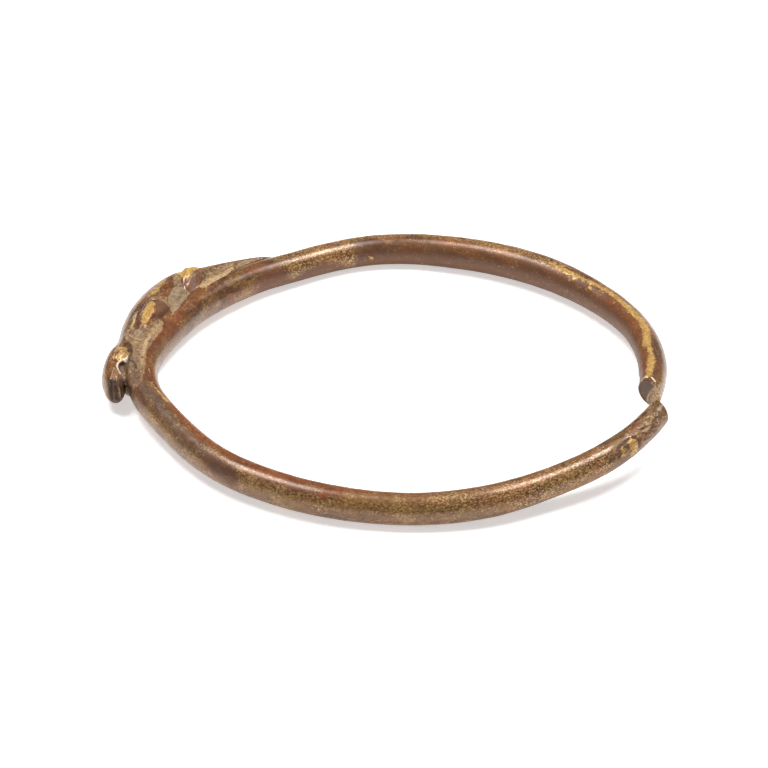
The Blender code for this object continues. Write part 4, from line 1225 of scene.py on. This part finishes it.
def carve(mesh, ring, sizes):
    """Presses the marks into the skin and keeps where each finish lies."""
    points = vertex_values(mesh, "co")
    normals = vertex_values(mesh, "normal")
    arc, out, up = ring.locate(points)
    spots = np.column_stack((ring.snout_arc - arc, out, up)) / MM
    wander = EDGE_WANDER * grain(points, EDGE_WANDER_SIZE * MM)
    cover = {finish: np.zeros(len(points)) for finish in FINISHES}
    rise = np.zeros(len(points))

    def mark(finish, strength, height, amount):
        rise[:] += height * amount
        covered = strength * amount
        for other in cover:
            if other != finish:
                cover[other] *= 1.0 - covered
        cover[finish] = np.maximum(cover[finish], covered)

    def nearness(places, path, width):
        return 1.0 - smooth_step(path_distance(places, path) + wander / 2, width * FULL_SHARE, width)

    upper_side = smooth_step(normals[:, 2], *UPPER_SIDE_FACING)
    for finish, strength, height, width, outline in PATCHES.values():
        depth = inside_distance(spots[:, 0], spots[:, 1], rounded(lengthwise(outline))) + wander
        mark(finish, strength, height, smooth_step(depth, -width, width) * upper_side)
    strokes = [(*settings, rod_path(ring, path)) for *settings, path in paths_of(ROD_MARKS)]
    strokes += [(*settings, lengthwise(path)) for *settings, path in paths_of(STROKES)]
    for *settings, places in DOTS.values():
        strokes += [(*settings, (place, place)) for place in lengthwise(places)]
    for finish, strength, height, width, path in strokes:
        mark(finish, strength, height, nearness(spots, path, width))
    backward = -np.sum(normals * ring.frame(arc)[1], axis=1)
    back_face = smooth_step(backward, *END_FACING) * (arc < END_FACE_REACH * MM)
    for finish, strength, height, width, path in paths_of(END_MARKS):
        mark(finish, strength, height, nearness(spots[:, 1:], path, width) * back_face)

    crusty = np.clip(sum(cover[finish] * share for finish, share in CRUSTINESS.items()), 0.0, 1.0)
    grain_height = sizes.crust_grain / MM
    for size, share, octaves, seed in CRUST_LUMPS:
        rise += crusty * grain_height * share * grain(points, size * MM, octaves, seed)
    size, share, octaves, seed = CRUST_PITS
    pits = smooth_step(grain(points, size * MM, octaves, seed), *PIT_LEVELS) * crusty
    rise -= grain_height * share * pits
    cover["soot"] = np.maximum(cover["soot"], PIT_DIRT * pits)
    points += normals * (rise * sizes.carving * MM)[:, None]
    move_vertices(mesh, points)

    # Painted shade: the skin's hollows beside the reptile are kept, to be darkened like shade in recesses
    inward = smoothed(mesh, points, HOLLOW_ROUNDS) - points
    bend = np.sum(inward * vertex_values(mesh, "normal"), axis=1) / MM
    first, last = [share * REPTILE_LENGTH / MM for share in REPTILE_STRETCH]
    beside_reptile = (spots[:, 0] > first) & (spots[:, 0] < last)
    cover["hollow"] = smooth_step(bend, *HOLLOW_DEPTH) * beside_reptile
    for finish, values in cover.items():
        mesh.attributes.new(finish, 'FLOAT', 'POINT').data.foreach_set("value", values)
    straight = mesh.attributes.new("straight", 'FLOAT_VECTOR', 'POINT')
    straight.data.foreach_set("vector", (spots * MM).ravel())


# The finish


class Recipe:
    """A material's nodes, added one at a time, each giving its first result."""

    def __init__(self, name):
        self.material = bpy.data.materials.new(name)
        self.material.use_nodes = True
        self.tree = self.material.node_tree
        self.straight = self.add('ShaderNodeAttribute', {}, "Vector", attribute_name="straight")

    def add(self, kind, inputs, result=0, **settings):
        return add_node(self.tree, kind, inputs, **settings).outputs[result]

    def mark(self, name):
        """A value kept on the skin."""
        return self.add('ShaderNodeAttribute', {}, "Fac", attribute_name=name)

    def cloud(self, width, detail, roughness, stretch):
        """Soft noise whose blots have a width in mm and are stretched along the rod."""
        size = width * MM
        scale = (1.0 / (size * stretch), 1.0 / size, 1.0 / size)
        place = self.add('ShaderNodeVectorMath', {0: self.straight, 1: scale}, operation='MULTIPLY')
        return self.add('ShaderNodeTexNoise', {"Vector": place, "Scale": 1.0, "Detail": detail,
                                               "Roughness": roughness})

    def part(self, value, level):
        """How much of a part of the finish a noise or a mark brings in, by its row in LEVELS."""
        names = ("Value", "From Min", "From Max", "To Min", "To Max")
        return self.add('ShaderNodeMapRange', dict(zip(names, (value, *LEVELS[level]))),
                        interpolation_type='SMOOTHSTEP')

    def reckon(self, operation, one, two):
        """Two numbers added, multiplied or compared, and kept from 0 to 1."""
        return self.add('ShaderNodeMath', {0: one, 1: two}, operation=operation, use_clamp=True)

    def over(self, share, under, above):
        """One colour laid over another by a share."""
        return self.add('ShaderNodeMix', {"Factor": share, 6: under, 7: above}, 2, data_type='RGBA')

    def level(self, share, under, above):
        """One number laid over another by a share."""
        return self.add('ShaderNodeMix', {"Factor": share, 2: under, 3: above}, data_type='FLOAT')


def patina(colours):
    """Dark patina with golden flecks, worn metal, crust and dirt, with painted shade, glints, sheen and
    floor reflections among them, each where the skin's marks say.
    """
    mix = Recipe("bronze_patina")
    mark = mix.mark
    part = mix.part
    wide, green, drift, middle, fine, finest = [mix.cloud(*cloud) for cloud in CLOUDS.values()]

    def add(one, two):
        return mix.reckon('ADD', one, two)

    def times(one, two):
        return mix.reckon('MULTIPLY', one, two)

    def most(one, two):
        return mix.reckon('MAXIMUM', one, two)

    # Patina, mottled from chocolate to red-brown and olive
    redness = add(part(wide, "red_brown"), part(middle, "red_brown_blots"))
    colour = mix.over(redness, colours.chocolate, colours.red_brown)
    greenness = times(part(green, "green"), part(middle, "green_blots"))
    colour = mix.over(greenness, colour, colours.olive)
    # Greyish film, which is also painted floor reflection and painted sheen
    colour = mix.over(times(mark("dull"), part(middle, "dull_blots")), colour, colours.dull)
    colour = mix.over(times(mark("warm"), part(middle, "warm_blots")), colour, colours.orange)
    colour = mix.over(times(mark("olive"), part(middle, "olive_blots")), colour, colours.olive)
    # Plum patina, which on the hind leg's side face is painted shade
    colour = mix.over(mark("plum"), colour, colours.plum)

    # Fine golden flecks in drifts and small dark pits
    flecky = add(part(drift, "drifts"), mark("fleck"))
    flecky = add(flecky, times(mark("olive"), OLIVE_FLECKS))
    flecky = times(flecky, part(mark("plum"), "flecks_on_plum"))
    flecky = times(flecky, part(mark("warm"), "flecks_on_warm"))
    colour = mix.over(times(part(fine, "flecks"), flecky), colour, colours.fleck)
    colour = mix.over(part(fine, "pits"), colour, colours.chocolate)

    # Crust: tan, grey and pale, each with an edge that the fine noise breaks up
    patchy = add(part(middle, "crust_blots"), part(fine, "crust_grains"))
    crusts = {
        "tan": mix.over(patchy, colours.tan_shade, colours.tan_crust),
        "grey": mix.over(patchy, colours.grey_shade, colours.grey_crust),
        "pale": mix.over(part(fine, "pale_grains"), colours.tan_crust, colours.pale_crust),
    }
    crust_share = 0.0
    for name, crust in crusts.items():
        share = part(add(mark(name), part(fine, name + "_edge")), name)
        colour = mix.over(share, colour, crust)
        crust_share = most(crust_share, share)
    colour = mix.over(times(part(fine, "crust_specks"), crust_share), colour, colours.soot)

    # Bare metal with painted sparkle, worn edges with painted glints, and dirt with painted shade in
    # creases and hollows
    scuffs = part(fine, "scuffs")
    gold_share = part(add(mark("gold"), add(scuffs, part(middle, "gold_edge"))), "gold")
    brightness = add(part(fine, "bright_grains"), part(middle, "bright_blots"))
    bare = mix.over(brightness, colours.bronze_shade, colours.bronze)
    # Painted sparkle: specks of glint colour on the bare metal
    bare = mix.over(part(fine, "sparkle"), bare, colours.glint)
    colour = mix.over(gold_share, colour, bare)
    # Worn edges and scuffs, with the painted glints that the worn marks carry
    worn_and_glint_share = part(add(mark("worn"), times(scuffs, WORN_SCUFFS)), "worn")
    colour = mix.over(worn_and_glint_share, colour, colours.glint)
    # Dirt, and painted shade from the shade marks and the skin's hollows, all in soot colour
    dirt = times(most(mark("soot"), times(mark("hollow"), HOLLOW_SHADE)), part(middle, "dirt_blots"))
    colour = mix.over(dirt, colour, colours.soot)

    shares = {"crust": crust_share, "plum": mark("plum"), "gold": gold_share, "worn": worn_and_glint_share,
              "dirt": dirt}
    metal = PATINA_METAL
    for name, number in METAL.items():
        metal = mix.level(shares[name], metal, number)
    roughness = part(middle, "gloss")
    for name, number in ROUGHNESS.items():
        roughness = mix.level(shares[name], roughness, number)

    grains = add(fine, finest)
    relief = mix.level(crust_share, times(grains, SMOOTH_RELIEF), grains)
    bump = mix.add('ShaderNodeBump', {"Strength": BUMP_STRENGTH, "Distance": BUMP_HEIGHT, "Height": relief})
    feed(mix.tree, mix.tree.nodes["Principled BSDF"],
         {"Base Color": colour, "Metallic": metal, "Roughness": roughness, "Normal": bump})
    return mix.material


# The stage


class BRACELET_OT_stage(bpy.types.Operator):
    """Lay a pale floor and set the soft lights and the camera"""

    bl_idname = "bracelet.stage"
    bl_label = "Stage"

    def execute(self, context):
        settings = context.scene.bracelet_stage
        self.floor(settings)
        self.light(context.scene, settings)
        self.camera(context.scene, settings)
        return {'FINISHED'}

    @staticmethod
    def floor(settings):
        bm = bmesh.new()
        bmesh.ops.create_grid(bm, x_segments=1, y_segments=1, size=settings.floor_size / 2)
        mesh = finished(bm, "floor")
        material = bpy.data.materials.new("white_paper")
        material.use_nodes = True
        feed(material.node_tree, material.node_tree.nodes["Principled BSDF"],
             {"Base Color": PAPER_COLOUR, "Roughness": PAPER_ROUGHNESS, "Specular IOR Level": PAPER_GLOSS,
              "Emission Color": WHITE, "Emission Strength": settings.floor_glow})
        mesh.materials.append(material)
        new_piece("floor", mesh)

    @staticmethod
    def light(scene, settings):
        world = bpy.data.worlds.new("studio")
        world.use_nodes = True
        feed(world.node_tree, world.node_tree.nodes["Background"],
             {"Color": WHITE, "Strength": settings.sky})
        scene.world = world
        for name, (turn, height, distance, width, tallness, share) in LAMPS.items():
            lamp = bpy.data.lights.new(name, 'AREA')
            lamp.shape = 'RECTANGLE'
            lamp.size = width
            lamp.size_y = tallness
            lamp.energy = settings.lamps * share
            place = Vector((distance, 0.0, 0.0))
            place.rotate(Euler((0.0, -math.radians(height), math.radians(turn))))
            thing = new_piece(name, lamp)
            thing.location = place
            thing.rotation_euler = (-place).to_track_quat('-Z', 'Y').to_euler()

    @staticmethod
    def camera(scene, settings):
        lens = bpy.data.cameras.new("camera")
        lens.sensor_width = SENSOR_WIDTH
        lens.lens = LENS
        lens.clip_start = 0.01
        thing = new_piece("camera", lens)
        back = Vector((0.0, -math.cos(settings.camera_elevation), math.sin(settings.camera_elevation)))
        thing.location = CAMERA_TARGET + back * settings.camera_distance
        thing.rotation_euler = (math.pi / 2 - settings.camera_elevation, 0.0, 0.0)
        scene.camera = thing
        scene.view_settings.view_transform = 'Standard'


class BRACELET_PT_sidebar(bpy.types.Panel):
    """Sizes, colours and steps of the bracelet"""

    bl_idname = "BRACELET_PT_sidebar"
    bl_label = "Amulet bracelet"
    bl_space_type = 'VIEW_3D'
    bl_region_type = 'UI'
    bl_category = "Bracelet"

    def draw(self, context):
        for group, steps in GROUPS.items():
            box = self.layout.box()
            settings = getattr(context.scene, group)
            for key in settings.__annotations__:
                box.prop(settings, key)
            for step in steps:
                box.operator(step.bl_idname)


GROUPS = {
    "bracelet_rod": (BRACELET_OT_rod,),
    "bracelet_reptile": (BRACELET_OT_reptile,),
    "bracelet_patina": (BRACELET_OT_casting,),
    "bracelet_stage": (BRACELET_OT_stage,),
}
SETTINGS = {
    "bracelet_rod": RodSizes,
    "bracelet_reptile": ReptileSizes,
    "bracelet_patina": PatinaColours,
    "bracelet_stage": StageSettings,
}
OPERATORS = (BRACELET_OT_rod, BRACELET_OT_reptile, BRACELET_OT_casting, BRACELET_OT_stage)


def register():
    for group in (*SETTINGS.values(), *OPERATORS, BRACELET_PT_sidebar):
        bpy.utils.register_class(group)
    for name, group in SETTINGS.items():
        setattr(bpy.types.Scene, name, PointerProperty(type=group))


def unregister():
    for name in SETTINGS:
        delattr(bpy.types.Scene, name)
    for group in reversed((*SETTINGS.values(), *OPERATORS, BRACELET_PT_sidebar)):
        bpy.utils.unregister_class(group)


def main():
    register()
    bpy.ops.bracelet.rod()
    bpy.ops.bracelet.reptile()
    bpy.ops.bracelet.casting()
    bpy.ops.bracelet.stage()


if __name__ == "__main__":
    main()
